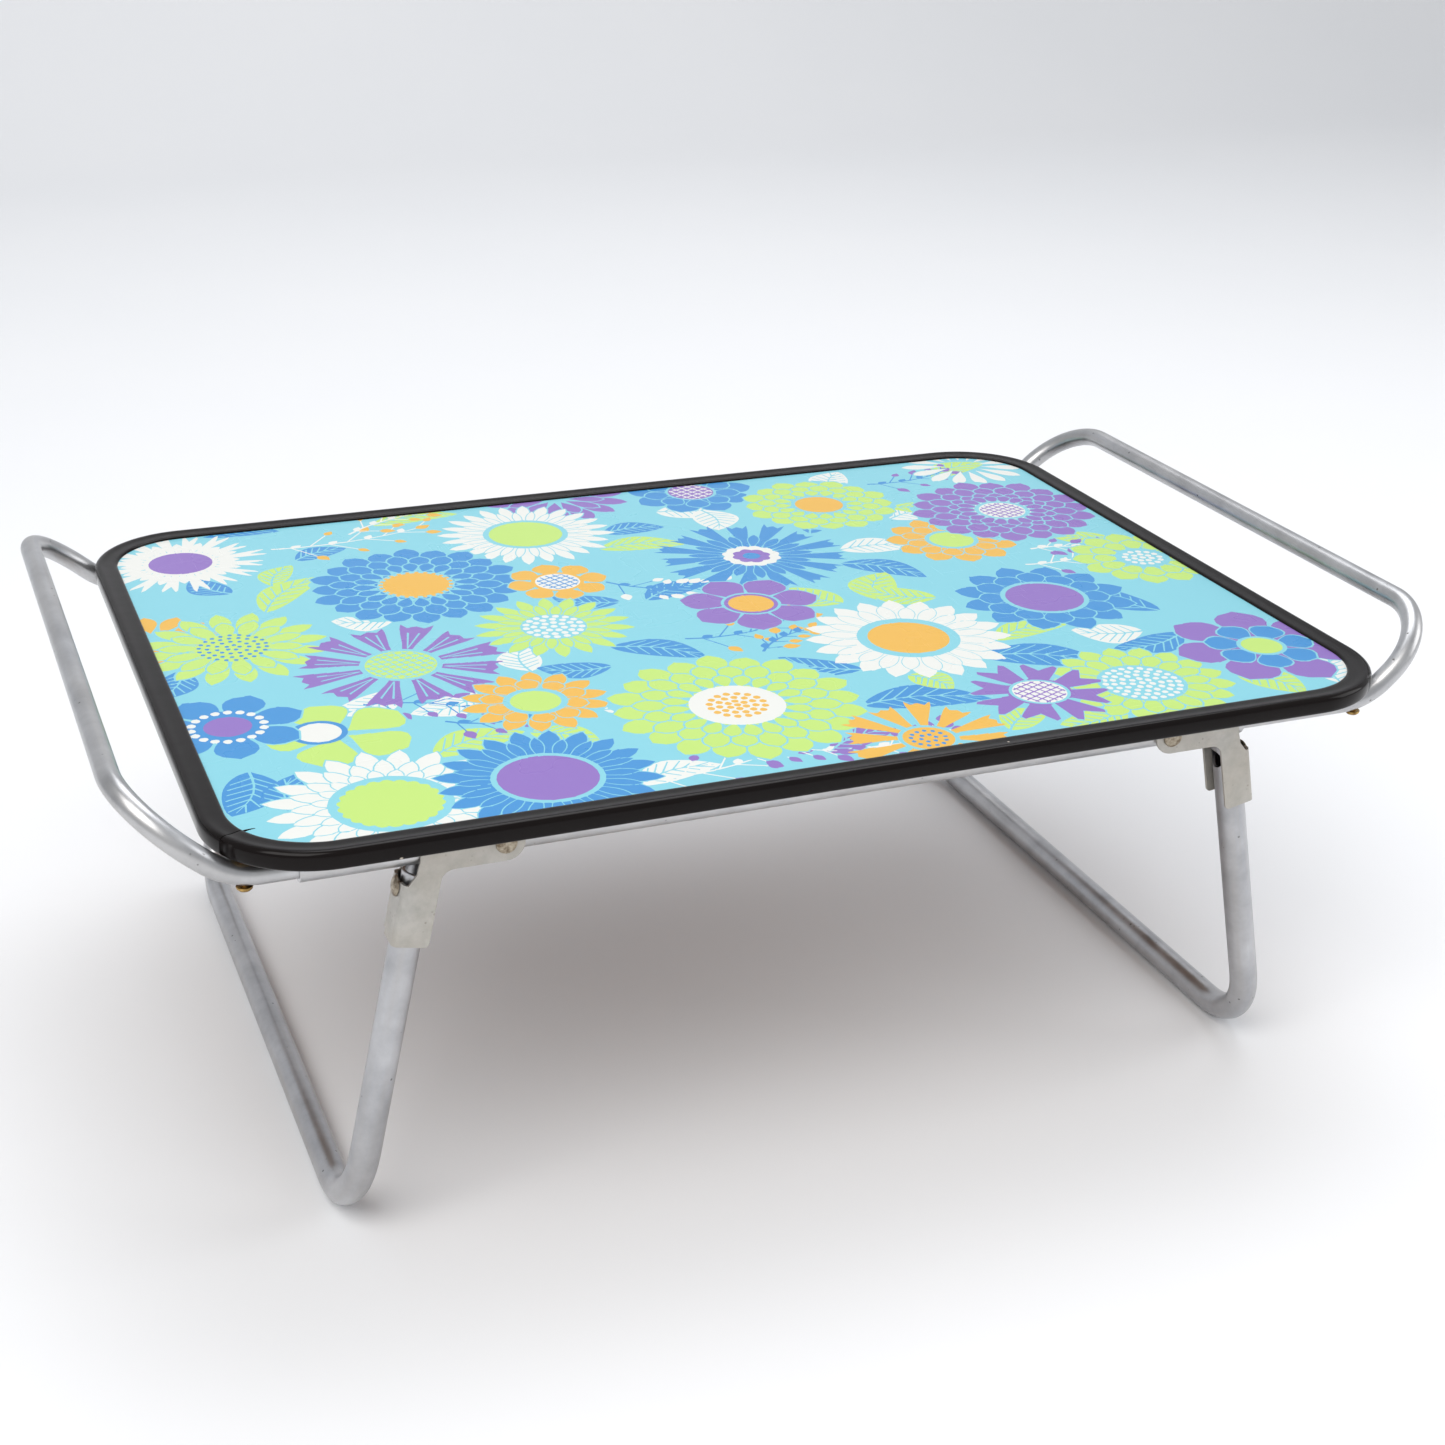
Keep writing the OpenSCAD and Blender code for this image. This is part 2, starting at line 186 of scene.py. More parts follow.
def finish_piece(obj, body, slot, materials, *nodes):
    """Paints obj, rides it on its body, and puts it in the place of the CAD nodes."""
    obj.data.materials.clear()
    for material in materials:
        obj.data.materials.append(material)
    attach(obj, body)
    if nodes:
        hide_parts(*nodes)


# ---------------------------------------------------------------- materials

def srgb(r, g, b):
    """A display colour, 0 to 255 a channel, as linear light."""
    c = np.array([r, g, b]) / 255.0
    low, high = c / 12.92, ((c + 0.055) / 1.055) ** 2.4
    return tuple(float(x) for x in np.where(c <= 0.04045, low, high)) + (1.0,)


class Shade:
    """A material's node tree, with short calls for the nodes used here."""

    def __init__(self, name):
        self.material = bpy.data.materials.new(name)
        self.material.use_nodes = True
        self.nodes = self.material.node_tree.nodes
        self.links = self.material.node_tree.links
        self.shader = self.nodes["Principled BSDF"]
        self.place = self.nodes.new("ShaderNodeTexCoord").outputs["Object"]

    def set(self, **values):
        for key, value in values.items():
            self.shader.inputs[key.replace("_", " ")].default_value = value

    def join(self, value, socket):
        self.links.new(value, self.shader.inputs[socket])

    def add(self, kind, output, inputs):
        """A new node's output, its inputs given as values or as other nodes' outputs."""
        node = self.nodes.new("ShaderNode" + kind)
        for key, value in inputs.items():
            if isinstance(value, bpy.types.NodeSocket):
                self.links.new(value, node.inputs[key])
            else:
                node.inputs[key].default_value = value
        return node.outputs[output]

    def scaled(self, vector, scale, turn=(0, 0, 0)):
        return self.add("Mapping", "Vector", {"Vector": vector, "Scale": scale, "Rotation": turn})

    def noise(self, vector, scale, detail=3.0, rough=0.55):
        return self.add("TexNoise", "Fac", {
            "Vector": vector, "Scale": scale, "Detail": detail, "Roughness": rough})

    def cells(self, vector, scale):
        return self.add("TexVoronoi", "Distance", {"Vector": vector, "Scale": scale})

    def ramp(self, value, *stops):
        """value passed through (place, colour or grey level) stops."""
        node = self.nodes.new("ShaderNodeValToRGB")
        band = node.color_ramp
        while len(band.elements) < len(stops):
            band.elements.new(0.5)
        for element, (at, colour) in zip(band.elements, stops):
            element.position = at
            element.color = colour if isinstance(colour, tuple) else (colour, colour, colour, 1)
        self.links.new(value, node.inputs["Fac"])
        return node.outputs["Color"]

    def step(self, value, low, high):
        """0 below low, 1 above high and a slope between."""
        return self.ramp(value, (low, 0.0), (high, 1.0))

    def math(self, kind, a, b):
        out = self.add("Math", "Value", {0: a, 1: b})
        out.node.operation = kind
        return out

    def gain(self, value, times, plus):
        """value times one number plus another."""
        return self.math("ADD", self.math("MULTIPLY", value, times), plus)

    def mix(self, factor, a, b):
        """The colour a, going over to b as factor rises to 1."""
        node = self.nodes.new("ShaderNodeMix")
        node.data_type = "RGBA"
        for socket, value in ((node.inputs[0], factor), (node.inputs[6], a), (node.inputs[7], b)):
            if isinstance(value, tuple):
                socket.default_value = value
            else:
                self.links.new(value, socket)
        return node.outputs[2]

    def bump(self, height, strength, distance, under=None):
        inputs = {"Height": height, "Strength": strength, "Distance": distance}
        if under is not None:
            inputs["Normal"] = under
        return self.add("Bump", "Normal", inputs)


def drawn_tube_finish(name, dark, light, worn):
    """Satin drawn aluminium: fine lines along the tube, cloudy dulling, sparse dark pits."""
    s = Shade(name)
    uv = s.nodes.new("ShaderNodeUVMap")
    uv.uv_map = "run"
    along = uv.outputs["UV"]
    lines = s.noise(s.scaled(along, (6, 1400, 1)), 1.0, 4.0, 0.6)
    broad = s.noise(s.scaled(along, (9, 160, 1)), 1.0, 3.0)
    clouds = s.noise(s.place, 38.0, 5.0, 0.62)
    fine = s.noise(s.place, 900.0, 2.0)
    near = s.cells(s.place, 210.0)
    pit = s.step(near, 0.085, 0.14)
    sparse = s.ramp(s.noise(s.place, 95.0, 1.0), (0.56, 1.0), (0.62, 0.0))
    pits = s.math("MAXIMUM", pit, sparse)
    colour = s.mix(s.step(clouds, 0.3, 0.7), dark, light)
    colour = s.mix(s.ramp(broad, (0.35, 0.0), (0.7, 0.45)), colour, worn)
    colour = s.mix(s.math("MULTIPLY", s.math("SUBTRACT", 1.0, pits), 0.7), colour, srgb(70, 66, 62))
    s.join(colour, "Base Color")
    rough = s.math("ADD", s.math("MULTIPLY", clouds, 0.28), s.math("MULTIPLY", lines, 0.14))
    s.join(s.math("ADD", rough, 0.13), "Roughness")
    normal = s.bump(lines, 0.35, 0.00005)
    normal = s.bump(fine, 0.15, 0.00004, normal)
    s.join(s.bump(pits, 0.5, 0.0001, normal), "Normal")
    s.set(Metallic=0.96)
    return s.material


def edging_finish():
    """Glossy black-brown plastic: slow waviness, dusty dulling, faint scuffs, pale nicks."""
    s = Shade("edging_gloss")
    near = s.cells(s.place, 62.0)
    nick = s.ramp(near, (0.0, 1.0), (0.035, 1.0), (0.06, 0.0))
    chosen = s.step(s.noise(s.place, 23.0, 1.0), 0.58, 0.61)
    nicks = s.math("MULTIPLY", nick, chosen)
    clouds = s.noise(s.place, 17.0, 4.0)
    colour = s.mix(clouds, srgb(10, 6, 6), srgb(18, 12, 10))
    colour = s.mix(nicks, colour, srgb(196, 186, 172))
    s.join(colour, "Base Color")
    scuffs = s.noise(s.scaled(s.place, (60, 60, 900)), 1.0, 3.0)
    dust = s.ramp(s.noise(s.place, 480.0, 2.0), (0.6, 0.0), (0.8, 0.25))
    rough = s.math("ADD", s.math("MULTIPLY", clouds, 0.12), s.math("MULTIPLY", dust, 0.3))
    s.join(s.math("ADD", rough, 0.06), "Roughness")
    normal = s.bump(s.noise(s.place, 55.0, 2.0), 0.3, 0.0004)
    s.join(s.bump(scuffs, 0.12, 0.00005, normal), "Normal")
    s.set(IOR=1.25)
    return s.material


def zinc_finish():
    """Dull zinc plate on pressed sheet: mottled grey-beige with warmer clouds, small faint
    spots and fine tooling lines."""
    s = Shade("zinc_sheet")
    mottle = s.noise(s.place, 120.0, 6.0, 0.7)
    cloud = s.noise(s.place, 36.0, 3.0)
    colour = s.mix(s.step(mottle, 0.32, 0.66), srgb(170, 168, 162), srgb(194, 191, 185))
    colour = s.mix(s.ramp(cloud, (0.35, 0.35), (0.65, 0.0)), colour, srgb(176, 166, 150))
    near = s.cells(s.place, 330.0)
    spots = s.math("MULTIPLY", s.ramp(near, (0.0, 1.0), (0.1, 1.0), (0.2, 0.0)),
                   s.step(s.noise(s.place, 70.0, 1.0), 0.5, 0.6))
    colour = s.mix(s.math("MULTIPLY", spots, 0.4), colour, srgb(110, 98, 84))
    s.join(colour, "Base Color")
    lines = s.noise(s.scaled(s.place, (1500, 300, 90)), 1.0, 2.0)
    s.join(s.gain(mottle, 0.2, 0.36), "Roughness")
    normal = s.bump(mottle, 0.12, 0.0001)
    s.join(s.bump(lines, 0.15, 0.00005, normal), "Normal")
    s.set(Metallic=0.7)
    return s.material


def tarnished_finish(name, scale, grain, clear_at, hollow, face, least_rough, relief, metal):
    """Small metal fixing: mottled from its dark hollows' colour to its face's, and rougher
    where it is paler."""
    s = Shade(name)
    mottle = s.noise(s.place, scale, 4.0, grain)
    s.join(s.mix(s.step(mottle, 0.35, clear_at), hollow, face), "Base Color")
    s.join(s.gain(mottle, 0.35, least_rough), "Roughness")
    s.join(s.bump(mottle, relief, 0.0001), "Normal")
    s.set(Metallic=metal)
    return s.material


def hardboard_finish():
    """Brown pressed wood fibre: short tangled fibres, a faint mesh print, darker blotches."""
    s = Shade("hardboard")
    fibre = s.noise(s.scaled(s.place, (900, 260, 900)), 1.0, 5.0, 0.7)
    cross = s.noise(s.scaled(s.place, (240, 1000, 900)), 1.0, 5.0, 0.7)
    blotch = s.noise(s.place, 14.0, 4.0)
    both = s.math("MULTIPLY", s.math("ADD", fibre, cross), 0.5)
    colour = s.mix(s.step(both, 0.36, 0.62), srgb(92, 62, 40), srgb(150, 110, 74))
    colour = s.mix(s.ramp(blotch, (0.4, 0.35), (0.62, 0.0)), colour, srgb(74, 50, 34))
    s.join(colour, "Base Color")
    s.join(s.gain(both, 0.25, 0.6), "Roughness")
    s.join(s.bump(both, 0.5, 0.0003), "Normal")
    return s.material


def ink_finish(name, colour):
    """One printed ink under the laminate's satin skin: the skin has a faint orange peel,
    hair scratches and wiped dull patches."""
    s = Shade(name)
    peel = s.noise(s.place, 260.0, 2.0)
    wiped = s.noise(s.place, 9.0, 4.0, 0.6)
    hair = s.noise(s.scaled(s.place, (35, 2600, 1), turn=(0, 0, 0.6)), 1.0, 2.0)
    hair2 = s.noise(s.scaled(s.place, (2400, 30, 1), turn=(0, 0, -0.3)), 1.0, 2.0)
    marks = s.math("MAXIMUM", s.step(hair, 0.7, 0.78), s.step(hair2, 0.71, 0.79))
    rough = s.math("ADD", s.math("MULTIPLY", wiped, 0.16), s.math("MULTIPLY", marks, 0.1))
    s.join(s.math("ADD", rough, 0.2), "Roughness")
    normal = s.bump(peel, 0.1, 0.00006)
    s.join(s.bump(marks, 0.12, 0.00003, normal), "Normal")
    s.set(Base_Color=colour, IOR=1.38)
    return s.material


INKS = {
    "ground": srgb(128, 198, 212), "white": srgb(222, 223, 218), "lime": srgb(184, 217, 112),
    "purple": srgb(136, 106, 182), "blue": srgb(58, 138, 200), "mustard": srgb(224, 174, 70)}
INK_ORDER = list(INKS)
tube_finish = drawn_tube_finish(
    "satin_tube", srgb(168, 169, 172), srgb(205, 206, 208), srgb(186, 182, 176))
leg_finish = drawn_tube_finish(
    "satin_leg_tube", srgb(160, 161, 165), srgb(202, 203, 206), srgb(178, 174, 170))
edging_gloss = edging_finish()
zinc_sheet = zinc_finish()
rivet_plate = tarnished_finish("rivet_plate", 420.0, 0.65, 0.65,
                               srgb(112, 98, 80), srgb(186, 176, 158), 0.22, 0.3, 0.9)
dull_brass = tarnished_finish("dull_brass", 380.0, 0.6, 0.7,
                              srgb(118, 88, 48), srgb(206, 172, 104), 0.2, 0.25, 1.0)
hardboard = hardboard_finish()
ink_materials = [ink_finish("ink_" + n, INKS[n]) for n in INK_ORDER]


# ---------------------------------------------------------------- the print

patches = []  # (outline points in mm, ink), later ones lie over earlier ones
PETAL_OVERLAP = 1.2  # petals of spread 1 are this much wider than their share of the ring
LINE_GAIN = 1.35     # outlines come out this much wider than a flower asks for
TIP_GAIN = 1.2       # and wider again at the tips


def lay(outline, ink):
    patches.append((np.asarray(outline, float), INK_ORDER.index(ink)))


def lay_all(outlines, ink):
    for outline in outlines:
        lay(outline, ink)


def disc(x, y, r, ink, points=28):
    """Circle: centre + r (cos a, sin a)."""
    a = np.linspace(0, 2 * np.pi, points, endpoint=False)
    lay(np.stack([x + r * np.cos(a), y + r * np.sin(a)], -1), ink)


def discs(x, y, *rings):
    """Discs about one centre, as (radius, ink), the largest first."""
    for r, ink in rings:
        disc(x, y, r, ink)


def scalloped(x, y, r, lobes, depth, ink):
    """Circle whose radius is r (1 - depth + depth |cos(lobes a / 2)|)."""
    a = np.linspace(0, 2 * np.pi, lobes * 6, endpoint=False)
    radius = r * (1 - depth + depth * np.abs(np.cos(lobes * a / 2)))
    lay(np.stack([x + radius * np.cos(a), y + radius * np.sin(a)], -1), ink)


def petal_side(kind):
    """Half of a petal's outline from base to tip as (share of length, share of half
    width). Round: sin(pi t^1.7)^0.7. Pointed: sin(pi t^1.45)^0.75. Toothed: a fan with
    three teeth at its tip. Horned: a fan with a notch in its tip."""
    t = np.linspace(0, 1, 9)
    if kind == "round":
        return t, np.sin(np.pi * t ** 1.7) ** 0.7
    if kind == "pointed":
        return t, np.sin(np.pi * t ** 1.45) ** 0.75
    if kind == "toothed":
        return (np.array([0, 0.3, 0.6, 0.84, 1.0, 0.88, 0.95]),
                np.array([0.22, 0.42, 0.72, 0.95, 1.0, 0.52, 0.0]))
    if kind == "horned":
        return (np.array([0, 0.25, 0.5, 0.75, 0.92, 1.0, 0.86, 0.74]),
                np.array([0.3, 0.5, 0.7, 0.9, 1.0, 0.8, 0.35, 0.0]))
    raise ValueError(kind)


def petals(x, y, count, r0, r1, spread, kind, ink, line_w=0.0, phase=0.0, uneven=0.03):
    """A ring of petals. Petal i points along phase + 2 pi i / count; a point at share t of
    its length and share w of its half width lies r0 + (r1 - r0) t out and w h to the side,
    with h = PETAL_OVERLAP spread pi (r0 + r1) / (2 count). The reach of petal i varies by
    uneven sin(3.1 i + 7 phase). With a line width, each petal is laid in the ground's
    ink first, and then in its own, smaller all round, before the next petal."""
    t, w = petal_side(kind)
    t, w = np.abs(t), np.abs(w)
    share = np.concatenate([t, t[::-1][1:]])
    side = np.concatenate([w, -w[::-1][1:]])
    if w[0] < 1e-6:
        share, side = share[:-1], side[:-1]
    angle = phase + 2 * np.pi * np.arange(count) / count
    reach = r1 * (1 + uneven * np.sin(3.1 * np.arange(count) + 7 * phase))
    half = PETAL_OVERLAP * spread * np.pi * (r0 + r1) / (2 * count)

    def ring(inner, outer, h):
        r = inner + (outer[:, None] - inner) * share[None, :]
        s = h * side[None, :]
        c, n = np.cos(angle)[:, None], np.sin(angle)[:, None]
        return np.stack([x + r * c - s * n, y + r * n + s * c], -1)

    if line_w:
        line_w = LINE_GAIN * line_w
        fills = ring(r0 + line_w, reach - TIP_GAIN * line_w, half - line_w)
        for edge, fill in zip(ring(r0, reach, half), fills):
            lay(edge, "ground")
            lay(fill, ink)
    else:
        lay_all(ring(r0, reach, half), ink)


def seeds(x, y, rings, ink, size):
    """Small discs in rings: each ring is (radius, count), evenly spaced."""
    for k, (radius, count) in enumerate(rings):
        a = 0.4 * k + 2 * np.pi * np.arange(count) / count
        for ax, ay in zip(x + radius * np.cos(a), y + radius * np.sin(a)):
            disc(ax, ay, size, ink, 9)


def lattice(x, y, r, gap, line_w, ink):
    """Two sets of parallel lines across a circle, at right angles: each is a bar at offset
    o from the centre with half length sqrt(r^2 - o^2)."""
    turn = 0.4
    for base in (turn, turn + np.pi / 2):
        d, n = heading(base)
        for o in np.arange(-r + gap * 0.7, r - gap * 0.3, gap):
            h = np.sqrt(max(r * r - o * o, 0.01)) - 0.3
            mid = np.array([x, y]) + o * n
            lay([mid - h * d - line_w * n, mid + h * d - line_w * n,
                 mid + h * d + line_w * n, mid - h * d + line_w * n], ink)


def bar(a, b, wa, wb, ink):
    """A tapering bar from a to b, of half widths wa and wb."""
    a, b = np.asarray(a, float), np.asarray(b, float)
    d = (b - a) / np.linalg.norm(b - a)
    n = np.array([-d[1], d[0]])
    lay([a - wa * n, b - wb * n, b + wb * n, a + wa * n], ink)


def leaf(x, y, angle, length, width, ink):
    """A leaf from its stalk end: along its axis the half width is
    width sin(pi t)^0.75 (1.15 - 0.3 t), the axis bows by bend length sin(pi t), and slanting
    veins in the ground's ink run from the midrib towards the edge."""
    bend = 0.12
    d, n = heading(np.radians(angle))
    start = np.array([x, y], float)

    def spot(t, s):
        t, s = np.asarray(t, float), np.asarray(s, float)
        return start + length * t[..., None] * d + (s + bend * length * np.sin(np.pi * t))[..., None] * n

    t = np.linspace(0, 1, 13)
    half = width * np.sin(np.pi * t) ** 0.75 * (1.15 - 0.3 * t)
    lay(np.concatenate([spot(t, half), spot(t[::-1][1:-1], -half[::-1][1:-1])]), ink)
    rib_t = np.linspace(0.0, 0.93, 7)
    rib_w = 0.55 * (1 - rib_t) + 0.12
    lay(np.concatenate([spot(rib_t, rib_w), spot(rib_t[::-1], -rib_w[::-1])]), "ground")
    for k, root in enumerate(np.linspace(0.14, 0.74, 6)):
        tip = root + 0.17
        reach = 0.86 * width * np.sin(np.pi * tip) ** 0.75 * (1.15 - 0.3 * tip)
        for side in (1, -1):
            bar(spot(root, 0.0), spot(tip, side * reach), 0.42, 0.3, "ground")


def sprig(x, y, angle, length, stem, bud, curl):
    """A curling stalk with buds by turns on each side: the stalk is a circle arc that
    turns by curl over its length, and each bud is a drop on a short side stalk."""
    buds = 8
    t = np.linspace(0, 1, 9)
    aim = np.radians(angle) + curl * (t - 0.5) * 2
    run = np.stack([np.cos(aim), np.sin(aim)], -1) * length / 8
    spine = np.array([x, y], float) + np.concatenate([[[0, 0]], np.cumsum(run[:-1], 0)])
    side = np.stack([-np.sin(aim), np.cos(aim)], -1)
    w = (0.75 - 0.45 * t)[:, None]
    lay(np.concatenate([spine + side * w, (spine - side * w)[::-1]]), stem)
    for k in range(buds):
        at = 1 + int(k * 7 / (buds - 1))
        out = aim[at] + (1 if k % 2 else -1) * (0.95 - 0.06 * k)
        reach = length * (0.24 - 0.012 * k)
        tip = spine[at] + reach * np.array([np.cos(out), np.sin(out)])
        bar(spine[at], tip, 0.4, 0.35, stem)
        drop(tip, out, 3.6 if k % 3 else 4.6, bud)
        if k % 2 == 0:
            drop(spine[at], out + 1.4, 3.4, stem)
    drop(spine[-1], aim[-1], 4.8, bud)


def drop(base, angle, size, ink):
    """A drop: half width size 0.62 sin(pi t^0.8) at share t of its length 1.9 size."""
    t = np.linspace(0, 1, 6)
    half = 0.62 * size * np.sin(np.pi * t ** 0.8)
    d, n = heading(angle)
    axis = np.asarray(base) + 1.9 * size * t[:, None] * d
    lay(np.concatenate([axis + half[:, None] * n, (axis - half[:, None] * n)[::-1][1:-1]]), ink)


def dahlia(x, y, r, ink, eye, layers, count):
    """Rings of round petals from the outside in, each ring turned half a step."""
    scalloped(x, y, r, count, 0.1, "ground")
    for k in range(layers):
        outer = r * (1 - 0.2 * k)
        petals(x, y, count, outer * 0.52, outer, 0.98, "round", ink, 0.6,
               phase=0.17 + k * np.pi / count)
    discs(x, y, (r * 0.36, "ground"), (r * 0.31, eye))


def draw_leaves():
    """All the leaves, under the flowers."""
    table = [
        (-196, 62, 48, 54, 10, "lime"), (-206, 92, 120, 30, 9, "blue"), (-186, 96, 60, 30, 8, "lime"),
        (-160, -48, 205, 38, 10, "white"), (-128, -62, 200, 36, 10, "white"),
        (-100, -46, 80, 30, 10, "white"), (-84, -96, -25, 36, 9, "white"), (-120, -108, -40, 32, 9, "lime"),
        (-164, -118, 15, 44, 11, "lime"), (-236, -108, 250, 40, 12, "blue"),
        (-226, -150, 80, 34, 9, "blue"), (-140, 36, 170, 30, 11, "white"), (-10, 118, 0, 34, 9, "blue"),
        (-20, 96, -8, 46, 10, "lime"), (-34, 22, 150, 34, 9, "blue"), (-22, 20, 20, 40, 9, "blue"),
        (-58, -30, -35, 46, 10, "blue"), (-64, -52, 165, 34, 9, "blue"), (28, 142, -25, 34, 12, "white"),
        (84, 142, -70, 32, 12, "white"), (52, 138, -95, 34, 12, "white"), (92, 84, 45, 38, 9, "blue"),
        (96, 56, -10, 40, 11, "white"), (88, 38, -45, 46, 10, "blue"), (66, -14, 120, 32, 12, "lime"),
        (84, -16, 60, 40, 12, "lime"), (112, -22, 140, 36, 11, "lime"), (112, -80, 10, 44, 9, "lime"),
        (40, -92, 140, 40, 9, "blue"), (96, -94, -30, 60, 13, "blue"), (22, -128, -12, 58, 12, "blue"),
        (56, -104, -60, 24, 9, "lime"), (142, 92, 10, 34, 11, "white"), (134, 148, 60, 32, 11, "white"),
        (150, 110, -35, 36, 9, "lime"), (184, -92, 160, 34, 12, "white"), (206, -72, 110, 50, 11, "blue"),
        (200, -100, 190, 42, 10, "blue"), (196, -150, -60, 34, 11, "lime"),
        (128, -168, 190, 36, 10, "lime"), (120, -160, -20, 34, 10, "white"), (196, 150, 20, 44, 10, "lime"),
        (-96, -170, 10, 40, 9, "white"), (-12, -168, 20, 40, 9, "purple"), (70, -172, 30, 30, 9, "lime"),
        (-206, 178, -5, 40, 8, "blue"), (-120, 168, 5, 48, 9, "lime"), (14, 176, 60, 28, 8, "lime"),
        (238, 30, 150, 34, 9, "lime"), (234, -176, 60, 34, 9, "white"), (-244, 4, 240, 34, 9, "blue"),
        (-168, 128, 20, 30, 8, "blue")]
    for x, y, angle, length, width, ink in table:
        leaf(x, y, angle, length, width, ink)


def draw_sprigs():
    """The small budded stalks."""
    table = [
        (-176, 148, 8, 78, "white", "mustard", 0.25), (-134, 158, 25, 50, "white", "mustard", -0.3),
        (-22, -32, 15, 64, "blue", "mustard", 0.5), (6, -58, 30, 34, "blue", "mustard", -0.4),
        (-32, 50, -20, 56, "blue", "white", 0.5), (-20, 28, -10, 40, "blue", "white", -0.5),
        (-178, -58, -30, 56, "blue", "purple", -0.4), (-150, -86, -5, 40, "blue", "purple", 0.5),
        (-92, -168, 12, 66, "white", "purple", 0.3), (-50, -158, -14, 44, "white", "purple", -0.3),
        (176, 6, 15, 54, "white", "purple", 0.45), (190, 26, -20, 36, "white", "purple", -0.4),
        (156, 150, 12, 52, "blue", "purple", 0.4), (6, -168, 14, 40, "white", "purple", 0.4)]
    for x, y, angle, length, stem, bud, curl in table:
        sprig(x, y, angle, length, stem, bud, curl)


def draw_flowers():
    """All the flowers, roughly from back to front."""
    # pale ones at the back corners
    petals(-222, 142, 16, 12, 41, 0.62, "horned", "white", phase=0.1, uneven=0.08)
    petals(-222, 142, 16, 14, 30, 0.5, "pointed", "white", phase=0.3)
    discs(-222, 142, (18, "white"), (15.5, "purple"))
    petals(222, 164, 15, 10, 36, 0.8, "round", "white", 0.6)
    petals(-16, 180, 14, 10, 40, 0.95, "pointed", "purple", 0.6)
    petals(-16, 180, 12, 6, 28, 0.95, "pointed", "purple", 0.6, phase=0.2)
    # white daisy with a lime eye
    petals(-48, 130, 24, 14, 46, 0.86, "round", "white", 0.55)
    petals(-48, 130, 24, 12, 36, 0.7, "pointed", "white", 0.4, phase=0.13)
    discs(-48, 130, (22, "ground"), (19, "lime"))
    # small blue flower with a lattice eye
    petals(58, 168, 9, 12, 36, 0.95, "pointed", "blue", 0.6)
    petals(58, 168, 9, 10, 27, 0.9, "pointed", "blue", 0.6, phase=0.35)
    discs(58, 168, (14, "ground"), (12.5, "purple"))
    lattice(58, 168, 12, 4.2, 0.45, "white")
    dahlia(116, 126, 42, "lime", "mustard", 4, 16)
    dahlia(-120, 76, 52, "blue", "mustard", 4, 20)
    seeds(-120, 76, [(17, 24)], "mustard", 1.2)
    # mustard star with a white lattice eye
    petals(-54, 58, 8, 8, 26, 0.98, "pointed", "mustard", 0.5)
    discs(-54, 58, (13, "mustard"), (11, "white"))
    lattice(-54, 58, 10.4, 3.6, 0.4, "blue")
    # mustard flower at the left edge, behind the seeded lime one
    petals(-250, 44, 12, 8, 30, 0.9, "pointed", "mustard", 0.5)
    petals(-218, 24, 16, 12, 44, 0.9, "pointed", "lime", 0.7)
    petals(-218, 24, 14, 10, 33, 0.9, "pointed", "lime", 0.6, phase=0.2)
    scalloped(-218, 24, 17, 18, 0.08, "lime")
    seeds(-218, 24, [(3, 5), (7.2, 11), (11.4, 17), (15, 22)], "blue", 1.15)
    # purple cornflower
    petals(-152, -20, 12, 14, 46, 0.82, "toothed", "purple", phase=0.12, uneven=0.06)
    cornflower = np.array([-152, -20])
    for a in 0.12 + 2 * np.pi * np.arange(12) / 12:
        for off in (-0.07, 0.07):
            root, tip = 19 * heading(a)[0], 38 * heading(a + off)[0]
            bar(cornflower + root, cornflower + tip, 0.3, 0.5, "ground")
    discs(-152, -20, (18.5, "ground"), (16, "lime"))
    lattice(-152, -20, 15.6, 3.8, 0.35, "ground")
    # lime sunburst with white seeds
    petals(-74, 2, 18, 10, 38, 0.85, "pointed", "lime", 0.5)
    petals(-74, 2, 18, 9, 28, 0.8, "pointed", "lime", 0.5, phase=0.17)
    disc(-74, 2, 15.5, "ground")
    seeds(-74, 2, [(0.1, 1), (5, 7), (9.2, 12), (13, 17)], "white", 1.75)
    # mustard flower with a lime eye
    petals(-108, -78, 14, 9, 33, 0.95, "pointed", "mustard", 0.5)
    petals(-108, -78, 10, 9, 24, 0.9, "round", "mustard", 0.4, phase=0.2)
    discs(-108, -78, (14, "ground"), (11, "lime"))
    # lime clover behind the beaded blue flower
    petals(-194, -84, 5, 3, 33, 1.0, "round", "lime", 0.6, phase=0.5, uneven=0)
    discs(-202, -80, (12, "blue"), (9.5, "white"))
    petals(-236, -62, 7, 3, 34, 1.0, "round", "blue", 0.6, phase=0.2, uneven=0)
    disc(-236, -62, 16.5, "blue")
    seeds(-236, -62, [(15, 18)], "white", 2.0)
    disc(-236, -62, 10, "purple")
    # large white daisy with a scalloped lime eye
    petals(-190, -154, 20, 16, 50, 0.92, "pointed", "white", 0.6)
    petals(-190, -154, 20, 14, 40, 0.9, "pointed", "white", 0.5, phase=0.16)
    petals(-190, -154, 20, 12, 31, 0.9, "round", "white", 0.4)
    disc(-190, -154, 24.5, "ground")
    scalloped(-190, -154, 21, 22, 0.07, "lime")
    # blue daisy with a purple eye
    petals(-126, -152, 20, 16, 46, 0.9, "pointed", "blue", 0.45)
    petals(-126, -152, 20, 16, 38, 0.62, "pointed", "blue", 0.4, phase=0.157)
    discs(-126, -152, (23, "ground"), (20.5, "purple"))
